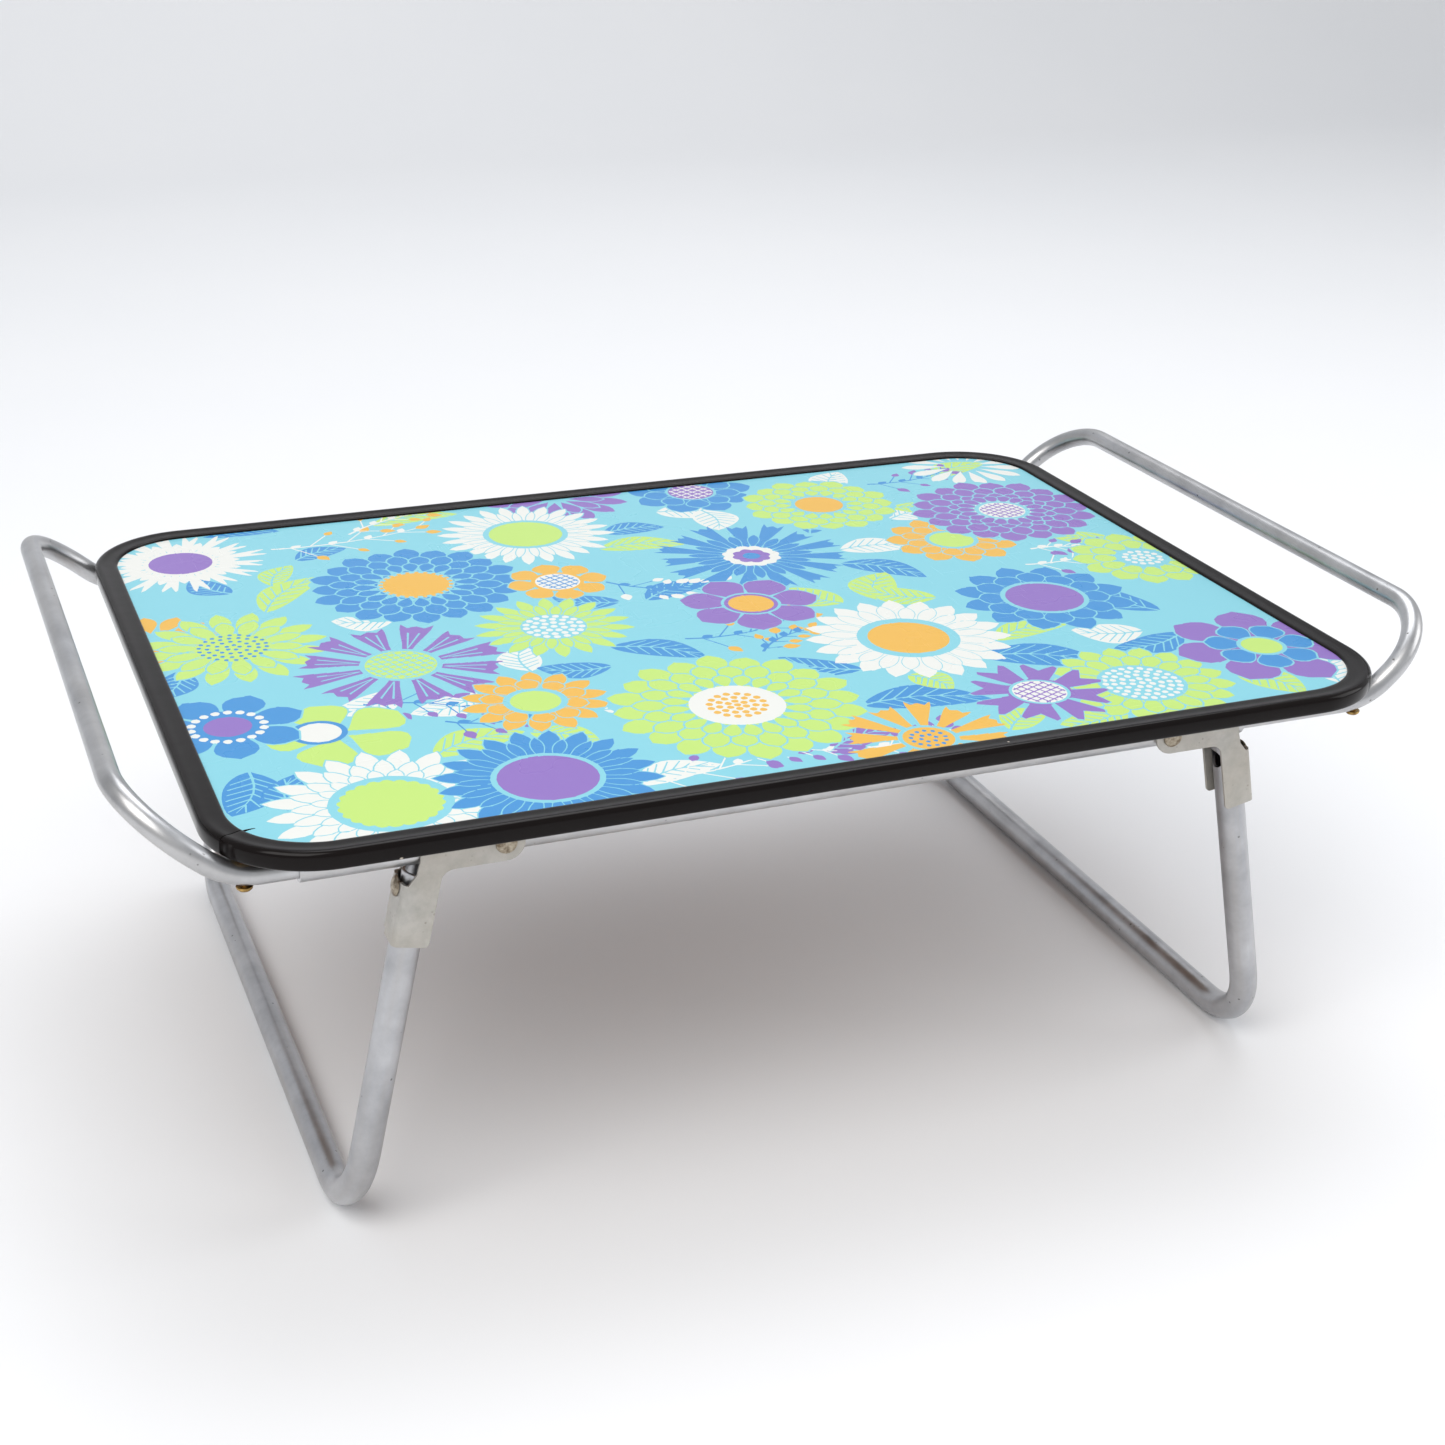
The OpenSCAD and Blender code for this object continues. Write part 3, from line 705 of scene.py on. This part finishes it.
    # blue cornflower with a purple and white eye
    petals(50, 62, 15, 12, 48, 0.72, "toothed", "blue", phase=0.1, uneven=0.07)
    petals(50, 62, 15, 12, 32, 0.6, "pointed", "blue", 0.4, phase=0.3)
    scalloped(50, 62, 15, 12, 0.1, "white")
    scalloped(50, 62, 10, 8, 0.15, "purple")
    disc(50, 62, 4.5, "blue")
    # purple flower with a mustard eye
    petals(24, 0, 7, 7, 35, 1.0, "pointed", "purple", 0.5, uneven=0)
    petals(24, 0, 7, 5, 29, 0.95, "round", "purple", uneven=0)
    discs(24, 0, (14.5, "ground"), (13, "purple"), (11, "mustard"))
    # large lime dahlia with a seeded white eye
    dahlia(-28, -110, 56, "lime", "white", 4, 20)
    disc(-28, -110, 21, "white")
    seeds(-28, -110, [(0.1, 1), (4, 6), (8, 11), (12, 16)], "mustard", 1.7)
    # white pointed flower with a mustard eye
    petals(76, -64, 20, 16, 48, 0.98, "pointed", "white", phase=0.05)
    petals(76, -64, 20, 16, 40, 0.8, "pointed", "white", 0.3, phase=0.2)
    discs(76, -64, (24, "ground"), (19, "mustard"))
    # mustard flower with a lime eye
    petals(158, 52, 11, 10, 35, 1.0, "round", "mustard", 0.5)
    petals(158, 52, 11, 10, 26, 0.95, "round", "mustard", 0.5, phase=0.28)
    discs(158, 52, (14, "ground"), (11.5, "lime"))
    # purple dahlia with a lattice eye
    dahlia(206, 86, 50, "purple", "white", 3, 18)
    petals(206, 86, 18, 12, 25, 1.1, "round", "purple", 0.5)
    discs(206, 86, (15, "ground"), (12.5, "white"))
    lattice(206, 86, 12, 3.6, 0.45, "purple")
    # lime ruffled flower with white seeds at the right edge
    petals(238, -4, 13, 12, 38, 1.1, "round", "lime", 0.6)
    petals(238, -4, 12, 10, 27, 1.1, "round", "lime", 0.6, phase=0.25)
    disc(238, -4, 14, "ground")
    seeds(238, -4, [(0.1, 1), (4.6, 7), (9, 13)], "white", 1.7)
    # blue flower with a purple eye
    petals(162, -38, 12, 14, 44, 0.95, "pointed", "blue", 0.5)
    petals(162, -38, 12, 14, 34, 1.0, "round", "blue", 0.5, phase=0.26)
    discs(162, -38, (21.5, "ground"), (19, "purple"))
    # lime flower with white seeds, front right
    petals(150, -146, 18, 16, 42, 1.05, "round", "lime", 0.6)
    petals(150, -146, 18, 14, 33, 1.05, "round", "lime", 0.6, phase=0.17)
    disc(150, -146, 20, "ground")
    seeds(150, -146, [(0.1, 1), (4.6, 7), (8.8, 12), (12.8, 18), (16.6, 24)], "white", 1.55)
    # purple cup flower with a lattice
    petals(102, -140, 8, 6, 32, 1.0, "horned", "purple", 0.5, phase=0.3)
    scalloped(102, -140, 15, 10, 0.12, "purple")
    discs(102, -140, (13.5, "ground"), (12, "white"))
    lattice(102, -140, 11.6, 3.6, 0.4, "purple")
    # purple flower with a blue heart and a lime eye
    petals(226, -126, 7, 5, 44, 1.0, "round", "purple", 0.6, phase=0.4, uneven=0)
    petals(226, -126, 7, 5, 27, 1.0, "round", "blue", 0.6, phase=0.85, uneven=0)
    discs(226, -126, (11.5, "ground"), (9.5, "lime"))
    # mustard cornflower at the front edge
    petals(34, -168, 12, 10, 36, 0.8, "toothed", "mustard", phase=0.2, uneven=0.05)
    discs(34, -168, (13, "ground"), (11, "mustard"))
    seeds(34, -168, [(3.4, 6), (7.4, 13)], "blue", 1.1)


def outline_reach(y):
    """Half the printed surface's length at height y: the straight end's inside the
    corners' centres, and beyond them corner centre + sqrt(r^2 - dy^2)."""
    r = CORNER_R - LIP_W
    over = np.clip(np.abs(y) - (TRAY_W / 2 - CORNER_R), 0, r)
    return TRAY_L / 2 - CORNER_R + np.sqrt(r * r - over * over)


def painted_lines(ys, cell):
    """The ink number along each line y, in cells of the given width. An outline covers a
    line between its crossings with it, taken in pairs; later outlines lie over earlier."""
    half = TRAY_L / 2 - LIP_W
    width = int(round(2 * half / cell))
    rows = np.zeros((len(ys), width), np.uint8)
    for outline, ink in patches:
        low, high = outline[:, 1].min(), outline[:, 1].max()
        first, last = np.searchsorted(ys, (low, high))
        if first == last:
            continue
        x0, y0 = outline[:, 0], outline[:, 1]
        x1, y1 = np.roll(x0, -1), np.roll(y0, -1)
        y = ys[first:last, None]
        crossing = (y0[None] <= y) != (y1[None] <= y)
        row, edge = np.nonzero(crossing)
        x = x0[edge] + (ys[first + row] - y0[edge]) / (y1[edge] - y0[edge]) * (x1[edge] - x0[edge])
        order = np.lexsort((x, row))
        row = row[order] + first
        at = np.clip(np.rint((x[order] + half) / cell), 0, width).astype(int)
        for line, a, b in zip(row[::2].tolist(), at[::2].tolist(), at[1::2].tolist()):
            rows[line, a:b] = ink
    return rows


def ink_changes(rows, cell):
    """Where the ink changes along each line: (line, place in mm, ink before, ink after)."""
    line, at = np.nonzero(rows[:, 1:] != rows[:, :-1])
    x = (at + 1) * cell - (TRAY_L / 2 - LIP_W)
    return line, x, rows[line, at].astype(int), rows[line, at + 1].astype(int)


def printed_sheet():
    """The laminate as one closed sheet, cut into narrow bands along Y. In each band the
    inks along its middle line give the patches, and each boundary runs from where the
    same two inks meet on the band's lower line to where they meet on its upper line, so
    outlines come out as sloping polylines. The rim is carried down to a flat back."""
    draw_leaves()
    draw_sprigs()
    draw_flowers()
    cell, bands = 0.1, 640  # mm along a line, and bands across the tray
    edge_margin = 0.3  # no ink boundary starts nearer to the end of a line than this
    half_w = TRAY_W / 2 - LIP_W
    ys = np.linspace(-half_w, half_w, 2 * bands + 1)
    rows = painted_lines(ys, cell)
    line, x, before, after = ink_changes(rows, cell)
    pair_code, pair_codes, span = before * 16 + after, 256, 2000.0

    def sort_key(on_line, code, at):
        """One number that sorts by line, then by pair of inks, then by place."""
        return (on_line * pair_codes + code) * span + at + span / 2

    key = sort_key(line, pair_code, x)
    order = np.argsort(key)
    key_sorted, x_sorted = key[order], x[order]

    def matched(index, to_line, slack=1.6):
        """For changes on a middle line, the place of the nearest change between the same
        inks on to_line, or their own place where there is none within slack."""
        wanted = sort_key(to_line, pair_code[index], x[index])
        spot = np.searchsorted(key_sorted, wanted)
        best = x[index].copy()
        gap = np.full(len(index), slack)
        for candidate in np.clip([spot - 1, spot], 0, len(key_sorted) - 1):
            d = np.abs(key_sorted[candidate] - wanted)
            near = d < gap
            best[near], gap[near] = x_sorted[candidate][near], d[near]
        return best

    starts = np.searchsorted(line, np.arange(2 * bands + 2))
    cuts = []
    for k in range(bands):
        index = np.arange(starts[2 * k + 1], starts[2 * k + 2])
        reach = outline_reach(ys[2 * k + 1])
        index = index[np.abs(x[index]) < reach - edge_margin]
        pair = []
        for to_line in (2 * k, 2 * k + 2):
            limit = float(outline_reach(ys[to_line]))
            at = np.zeros(0)
            if len(index):
                at = np.maximum.accumulate(np.clip(matched(index, to_line), -limit, limit))
            pair.append(np.round(np.concatenate([[-limit], at, [limit]]), 2))
        first_cell = int(np.clip((-reach + edge_margin + TRAY_L / 2 - LIP_W) / cell, 0, rows.shape[1] - 1))
        inks = np.concatenate([[rows[2 * k + 1, first_cell]], after[index]])
        cuts.append((pair[0], pair[1], inks))
    on_line = [np.unique(np.concatenate([cuts[k - 1][1] if k else cuts[0][0],
                                         cuts[k][0] if k < bands else cuts[-1][1]]))
               for k in range(bands + 1)]
    base = np.concatenate([[0], np.cumsum([len(v) for v in on_line])])
    verts = np.concatenate([np.column_stack([v, np.full(len(v), ys[2 * k]), np.full(len(v), TOP_H)])
                            for k, v in enumerate(on_line)])
    faces, ink_index = [], []
    for k, (low, high, inks) in enumerate(cuts):
        low_at = base[k] + np.searchsorted(on_line[k], low)
        high_at = base[k + 1] + np.searchsorted(on_line[k + 1], high)
        for n, ink in enumerate(inks.tolist()):
            if low_at[n] == low_at[n + 1] and high_at[n] == high_at[n + 1]:
                continue
            faces.append(list(range(low_at[n], low_at[n + 1] + 1))
                         + list(range(high_at[n + 1], high_at[n] - 1, -1)))
            ink_index.append(ink)
    rim = np.concatenate([np.arange(base[0], base[1]), base[2:bands + 1] - 1,
                          np.arange(base[bands + 1] - 1, base[bands] - 1, -1), base[bands - 1:0:-1]])
    count = len(rim)
    low_rim = verts[rim] - [0, 0, LAMINATE_T]
    under = len(verts) + np.arange(count)
    walls = np.stack([np.roll(rim, -1), rim, under, np.roll(under, -1)], -1).tolist()
    faces += walls + [under[::-1].tolist()]
    ink_index += [0] * (count + 1)
    obj = new_object("laminate_sheet", np.concatenate([verts, low_rim]), faces, smooth=False)
    finish_piece(obj, "tray", "laminate", ink_materials, "printed_laminate")
    obj.data.polygons.foreach_set("material_index", np.array(ink_index, np.int32))


# ---------------------------------------------------------------- the edging

def edging_profile():
    """Cross-section of the edging as (distance out from its outer face, height above the
    printed surface): a lip that rises gently to a crest near the outside, a slightly full
    outer face, a rounded foot and the groove that grips the board."""
    crest = np.radians(np.linspace(90, 8, 8))
    crest = np.stack([-2.5 + 2.35 * np.cos(crest), -0.87 + 2.35 * np.sin(crest)], -1)
    foot = np.radians(np.linspace(-8, -90, 7))
    foot = np.stack([-1.85 + 1.72 * np.cos(foot), -4.86 + 1.72 * np.sin(foot)], -1)
    lip = [[-11, -0.05], [-10.92, 0.3], [-10.75, 0.66], [-10.45, 0.92], [-10.0, 1.05], [-9.0, 1.09],
           [-7.5, 1.1], [-6.0, 1.14], [-4.8, 1.26], [-3.7, 1.42], [-3.1, 1.48]]
    face = [[-0.06, -1.4], [0.0, -2.4], [0.0, -3.4], [-0.05, -4.3]]
    under = [[-5.0, -6.6], [-8.4, -6.6], [-8.85, -6.45], [-9.0, -6.2], [-9.0, -5.6], [-2.6, -5.6],
             [-2.6, -0.82], [-11, -0.82]]
    return np.concatenate([lip, crest, face, foot, under])


def edging_strip():
    """The edging as one strip with a butt joint. Along the run s the core line is the tray
    outline with its corners' centres, the outward normal is n(s), and a profile point
    (d, h) lies at core + (CORNER_R + d) n, at height h. The inner lip wanders by a tenth
    of a millimetre, |0.1 sin(9 s) + 0.06 sin(23 s + 1)| inwards, and the top sags a little
    at the joint's first end."""
    x, y = TRAY_L / 2 - CORNER_R, TRAY_W / 2 - CORNER_R
    centres = np.array([[-x, -y], [x, -y], [x, y], [-x, y]])
    gap = SEAM_GAP / CORNER_R
    spans = [(SEAM + gap / 2, 1.5 * np.pi)] + [(k * np.pi / 2, (k + 1) * np.pi / 2) for k in (-1, 0, 1)]
    cores, angles = [], []
    for k, (a0, a1) in enumerate(spans):
        t = np.linspace(0, 1, 26)[1:-1, None]
        cores += [np.repeat(centres[k][None], 31, 0), centres[k] + (centres[(k + 1) % 4] - centres[k]) * t]
        angles += [np.linspace(a0, a1, 31), np.full(24, a1)]
    cores.append(np.repeat(centres[0][None], 10, 0))
    angles.append(np.linspace(np.pi, SEAM - gap / 2, 10))
    core, angle = np.concatenate(cores), np.concatenate(angles)
    profile = edging_profile()
    normal = np.stack([np.cos(angle), np.sin(angle)], -1)
    s = np.linspace(0, 2 * np.pi, len(core))[:, None]
    wander = (0.1 * np.sin(9 * s) + 0.06 * np.sin(23 * s + 1)) * (np.abs(profile[None, :, 0] + 10.7) < 0.4)
    droop = np.zeros_like(s)
    droop[:3] = [[-0.12], [-0.08], [-0.03]]
    out = CORNER_R + profile[None, :, 0] - np.abs(wander)
    flat = core[:, None, :] + out[..., None] * normal[:, None, :]
    height = TOP_H + profile[None, :, 1] + droop * (profile[None, :, 1] > 0)
    points = np.concatenate([flat, height[..., None]], -1)
    rows, cols = points.shape[:2]
    faces = grid_faces(rows, cols, False, True)[:, ::-1].tolist()
    faces += [list(range(cols)), list(range((rows - 1) * cols, rows * cols))[::-1]]
    return new_object("edging_strip", points.reshape(-1, 3), faces, sharp=50)


def edging_burr():
    """The sliver of plastic left standing at the butt joint: a thin wedge that starts
    under the lip and runs inwards, its half width 0.55 (1 - t) and its height 0.5 (1 - t)
    at share t of its length, curling sideways as t squared."""
    t = np.linspace(0, 1, 9)[:-1]
    d = -10.2 - 6.5 * t
    n, along = heading(SEAM)
    centre = np.array([-TRAY_L / 2 + CORNER_R, -TRAY_W / 2 + CORNER_R])
    axis = centre + (CORNER_R + d)[:, None] * n + (1.4 * t ** 2)[:, None] * along
    half = (0.55 * (1 - t) + 0.05)[:, None]
    z = TOP_H + np.zeros((len(t), 1))
    tall = 0.5 * (1 - t)[:, None] + 0.08
    corners = ((-1, 0), (-0.5, 1), (0.5, 1), (1, 0))  # across and up, as shares
    ring = np.stack([np.hstack([axis + across * half * along, z + up * tall]) for across, up in corners], 1)
    faces = grid_faces(len(t), 4, False, True).tolist()
    faces += [[3, 2, 1, 0], list(range(4 * len(t) - 4, 4 * len(t)))]
    return new_object("edging_burr", ring.reshape(-1, 3), faces)


# ---------------------------------------------------------------- tubes

def handle_path(sign):
    """Centre line of a handle: along the rail, up round an arc of ARM_BEND_R to the slope,
    round a corner arc of GRIP_R in the sloping plane, across as the grip, and back the
    same way. sign is 1 for the right handle and -1 for the left."""
    c, s = np.cos(ARM_ANGLE), np.sin(ARM_ANGLE)
    start = np.array([ARM_END_X, -RAIL_Y, RAIL_Z])
    bend = np.array([ARM_BEND_X, -RAIL_Y, RAIL_Z])
    rise = arc_points(bend + [0, 0, ARM_BEND_R], bend, np.array([ARM_BEND_R, 0, 0]), ARM_ANGLE, 15)
    slope = np.array([c, 0, s])
    corner = rise[-1] + ARM_STRAIGHT * slope
    turn = arc_points(corner + [0, GRIP_R, 0], corner, GRIP_R * slope, np.pi / 2, 25)
    half = joined(straight(start, bend), rise, straight(rise[-1], corner, 2.0), turn)
    grip = straight(half[-1], half[-1] * [1, -1, 1])
    path = joined(half, grip, (half * [1, -1, 1])[::-1])
    return path * [sign, 1, 1]


def leg_point(u, y, w, sign):
    """A point u out from the leg's axis and w up along it, as x, y, z."""
    ref_x, ref_z = FOOT_X - LEG_LEN * np.sin(SPLAY), TUBE_R + LEG_LEN * np.cos(SPLAY)
    u, y, w = np.broadcast_arrays(u, y, w)
    return np.stack([sign * (ref_x + u * np.cos(SPLAY) - w * np.sin(SPLAY)), y,
                     ref_z + w * np.cos(SPLAY) + u * np.sin(SPLAY)], -1)


def leg_path(sign):
    """Centre line of a leg loop in its own sloping plane: down one leg, round an arc of
    FOOT_R, along the floor bar, round and up the other leg."""
    a = np.linspace(0, np.pi / 2, 25)
    low = FOOT_R - LEG_LEN
    down = straight(np.array([-RAIL_Y, LEG_TOP]), np.array([-RAIL_Y, low]))
    turn = np.stack([-RAIL_Y + FOOT_R - FOOT_R * np.cos(a), low - FOOT_R * np.sin(a)], -1)
    bar_run = straight(turn[-1], turn[-1] * [-1, 1])
    yw = joined(down, turn, bar_run, (turn * [-1, 1])[::-1], (down * [-1, 1])[::-1])
    return leg_point(0.0, yw[:, 0], yw[:, 1], sign)


def cut_holes(obj, cutters):
    """Cuts the cutters out of obj for good and removes them."""
    for k, cutter in enumerate(cutters):
        step = obj.modifiers.new(f"hole_{k}", "BOOLEAN")
        step.operation, step.solver, step.object = "DIFFERENCE", "EXACT", cutter
    bpy.context.view_layer.update()
    done = bpy.data.meshes.new_from_object(obj.evaluated_get(bpy.context.evaluated_depsgraph_get()))
    obj.modifiers.clear()
    obj.data = done
    done.set_sharp_from_angle(angle=np.radians(35))
    for cutter in cutters:
        bpy.data.objects.remove(cutter)


def build_tubes():
    """Rails, handles and leg loops. Each leg has a small hole for its rivet on the outer
    side and a wide one for the rivet's tail on the inner side."""
    for side, sy in (("front", -1), ("back", 1)):
        ends = np.array([[x, sy * RAIL_Y, RAIL_Z] for x in (RAIL_LEFT, RAIL_RIGHT)])
        rail = tube_shell(f"rail_{side}", straight(*ends), TUBE_R, HANDLE_R + 0.05, (0, 0, 1))
        finish_piece(rail, "tray", "tube", [tube_finish], f"side_rail_{side}")
    for hand, sign in (("left", -1), ("right", 1)):
        up = (-sign * np.sin(ARM_ANGLE), 0, np.cos(ARM_ANGLE))
        handle = tube_shell(f"handle_{hand}", handle_path(sign), HANDLE_R, HANDLE_R - WALL, up)
        finish_piece(handle, "tray", "tube", [tube_finish], f"handle_tube_{hand}")
        out = np.array([sign * np.cos(SPLAY), 0, np.sin(SPLAY)])
        loop = tube_shell(f"leg_loop_shell_{hand}", leg_path(sign), TUBE_R, TUBE_R - WALL, out, 56)
        holes = []
        for sy in (-1, 1):
            at = leg_point(0.0, sy * RAIL_Y, LEG_RIVET_UP, sign)
            for r, low, high, steps in ((4.3, -8, -2, 40), (2.0, 2, 8, 24)):
                rod = [(0, low), (r, low), (r, high), (0, high)]
                holes.append(spin_solid("cutter", rod, at, out, (0, 1, 0), steps))
        cut_holes(loop, holes)
        finish_piece(loop, f"{hand}_leg", "leg_tube", [leg_finish], f"leg_loop_{hand}")


# ---------------------------------------------------------------- brackets and fixings

def stamped_copy(node, name):
    """The CAD bracket with its facets merged and its cut edges rolled over by a bevel."""
    crisp = np.radians(40)
    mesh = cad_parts[node].data.copy()
    mesh.name = name
    work = bmesh.new()
    work.from_mesh(mesh)
    bmesh.ops.remove_doubles(work, verts=work.verts, dist=2e-6)
    bmesh.ops.dissolve_limit(work, angle_limit=0.01, verts=work.verts, edges=work.edges)
    work.to_mesh(mesh)
    work.free()
    mesh.polygons.foreach_set("use_smooth", [True] * len(mesh.polygons))
    mesh.set_sharp_from_angle(angle=crisp)
    obj = bpy.data.objects.new(name, mesh)
    bpy.context.scene.collection.objects.link(obj)
    edge = obj.modifiers.new("rolled_edge", "BEVEL")
    edge.width, edge.segments, edge.limit_method = 0.28 * MM, 3, "ANGLE"
    edge.angle_limit = crisp
    edge.harden_normals = False
    even = obj.modifiers.new("even_shading", "WEIGHTED_NORMAL")
    even.keep_sharp = False
    return obj


def build_fixings():
    """Brackets, rivets, spacers and screws at the four corners."""
    for depth, sy, hand, sx in CORNERS:
        where = f"{depth}_{hand}"
        bracket = stamped_copy(f"leg_bracket_{where}", f"bracket_{where}")
        finish_piece(bracket, f"{hand}_leg", "bracket", [zinc_sheet], f"leg_bracket_{where}")

        plate_out = RAIL_Y + TUBE_R + PLATE_GAP + PLATE_T
        plate_in = RAIL_Y - TUBE_R - PLATE_GAP - PLATE_T
        pivot = spin_solid(f"pivot_pin_{where}", [
            (0, plate_in - 1.1), (2.6, plate_in - 1.1), (3.7, plate_in - 0.8), (3.9, plate_in - 0.5),
            (3.9, plate_in - 0.1), (2.5, plate_in - 0.1), (2.5, plate_out + 0.1), (4.4, plate_out + 0.1),
            (4.4, plate_out + 0.45), (4.25, plate_out + 0.75), (3.6, plate_out + 1.08),
            (2.4, plate_out + 1.22), (1.2, plate_out + 1.28), (0, plate_out + 1.3)],
            np.array([sx * PIVOT_X, 0, RAIL_Z]), (0, sy, 0), (0, 0, 1))
        finish_piece(pivot, "tray", "rivet", [rivet_plate], f"pivot_rivet_{where}")

        out = np.array([sx * np.cos(SPLAY), 0, np.sin(SPLAY)])
        web = WEB_OUT
        dome = np.radians(np.linspace(0, 90, 12))
        head = [(4.25 * np.cos(a), web + 0.3 + 1.6 * np.sin(a)) for a in dome[:-1]] + [(0, web + 1.9)]
        rivet = spin_solid(f"leg_pin_{where}", [
            (0, 3.2), (1.2, 3.2), (2.4, 3.4), (2.7, 3.8), (2.7, 4.4), (2.0, 4.4), (2.0, web), (3.9, web),
            (3.9, web + 0.18), (4.1, web + 0.2)] + head,
            leg_point(0.0, sy * RAIL_Y, LEG_RIVET_UP, sx), out, (0, 1, 0))
        finish_piece(rivet, f"{hand}_leg", "rivet", [rivet_plate], f"leg_rivet_{where}")

        corner = np.array([sx * CORNER_SCREW_X, sy * RAIL_Y, 0])
        low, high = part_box(f"corner_spacer_{where}")
        z0, z1 = low.z / MM, high.z / MM
        spacer = spin_solid(f"spacer_{where}", [
            (0, z0), (3.0, z0), (3.2, z0 + 0.15), (3.2, z1 - 0.15), (3.0, z1), (0, z1)],
            corner, (0, 0, 1), (1, 0, 0), 36)
        finish_piece(spacer, "tray", "brass", [dull_brass], f"corner_spacer_{where}")
        low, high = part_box(f"corner_screw_{where}")
        z0, z1 = low.z / MM, high.z / MM
        screw = spin_solid(f"screw_{where}", [
            (0, z0), (1.3, z0 + 0.08), (2.4, z0 + 0.4), (3.1, z0 + 1.1), (3.3, z0 + 1.9), (3.2, z0 + 2.1),
            (1.5, z0 + 2.1), (1.5, z1 - 0.8), (0.9, z1), (0, z1)], corner, (0, 0, 1), (1, 0, 0), 36)
        finish_piece(screw, "tray", "brass", [dull_brass], f"corner_screw_{where}")


# ---------------------------------------------------------------- the table

printed_sheet()
finish_piece(edging_strip(), "tray", "edging", [edging_gloss], "edge_trim")
finish_piece(edging_burr(), "tray", "edging", [edging_gloss])
build_tubes()
build_fixings()
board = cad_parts["top_board"]
board.data.materials.clear()
board.data.materials.append(hardboard)


# ---------------------------------------------------------------- floor, light, camera

def floor_finish():
    """Pale matt paint with barely visible cloudiness."""
    s = Shade("floor_paint")
    cloud = s.noise(s.place, 2.0, 3.0)
    s.join(s.mix(cloud, srgb(238, 239, 241), srgb(243, 243, 244)), "Base Color")
    s.set(Roughness=0.6)
    return s.material


def studio_floor():
    """A floor that curves up into a back wall: flat to y = 2.2 m, then a quarter circle of
    0.9 m, then upright."""
    a = np.linspace(0, np.pi / 2, 24)
    y = np.concatenate([[-4000], 2200 + 900 * np.sin(a), [3100]])
    z = np.concatenate([[0], 900 - 900 * np.cos(a), [4000]])
    x = np.array([-5000.0, 5000.0])
    points = np.stack([np.broadcast_to(x[None], (len(y), 2)), np.broadcast_to(y[:, None], (len(y), 2)),
                       np.broadcast_to(z[:, None], (len(y), 2))], -1)
    faces = grid_faces(len(y), 2, False, False)[:, ::-1]
    obj = new_object("studio_floor", points.reshape(-1, 3), faces.tolist())
    obj.data.materials.append(floor_finish())


def soft_light(name, place, target, size, power, colour=(1, 1, 1)):
    """A square area lamp at place that faces target."""
    lamp = bpy.data.lights.new(name, "AREA")
    lamp.size, lamp.energy, lamp.color = size, power, colour
    obj = bpy.data.objects.new(name, lamp)
    obj.location = place
    obj.rotation_euler = (Vector(target) - Vector(place)).to_track_quat("-Z", "Y").to_euler()
    bpy.context.scene.collection.objects.link(obj)


studio_floor()
soft_light("key", (-1.1, -1.0, 1.9), (0, 0, 0.1), 1.6, 29, (1.0, 0.98, 0.95))
soft_light("back", (0.6, 0.9, 2.3), (0, 0.1, 0.1), 1.6, 22, (0.97, 0.98, 1.0))
soft_light("side", (1.9, -0.7, 1.0), (0, 0, 0.1), 1.2, 9)
world = bpy.data.worlds.new("studio_air")
world.use_nodes = True
air = world.node_tree.nodes["Background"]
air.inputs["Color"].default_value = (0.92, 0.94, 0.97, 1)
air.inputs["Strength"].default_value = 0.62
bpy.context.scene.world = world

YAW, PITCH, ROLL = 0.3821, 0.4192, 0.0192  # of the camera, in radians
CAMERA_AT = (-0.36414, -0.90888, 0.56565)
lens = bpy.data.cameras.new("view")
lens.sensor_width, lens.lens = 36.0, 55.145
lens.shift_x, lens.shift_y = 0.0127, 0.0005
camera = bpy.data.objects.new("view", lens)
right0 = Vector((np.cos(YAW), -np.sin(YAW), 0))
forward = Vector((np.sin(YAW) * np.cos(PITCH), np.cos(YAW) * np.cos(PITCH), -np.sin(PITCH)))
up0 = Vector((np.sin(YAW) * np.sin(PITCH), np.cos(YAW) * np.sin(PITCH), np.cos(PITCH)))
right = right0 * np.cos(ROLL) + up0 * np.sin(ROLL)
up = up0 * np.cos(ROLL) - right0 * np.sin(ROLL)
turn = Matrix((right, up, -forward)).transposed().to_4x4()
camera.matrix_world = Matrix.Translation(CAMERA_AT) @ turn
bpy.context.scene.collection.objects.link(camera)
bpy.context.scene.camera = camera

bpy.context.scene.view_settings.view_transform = "Standard"
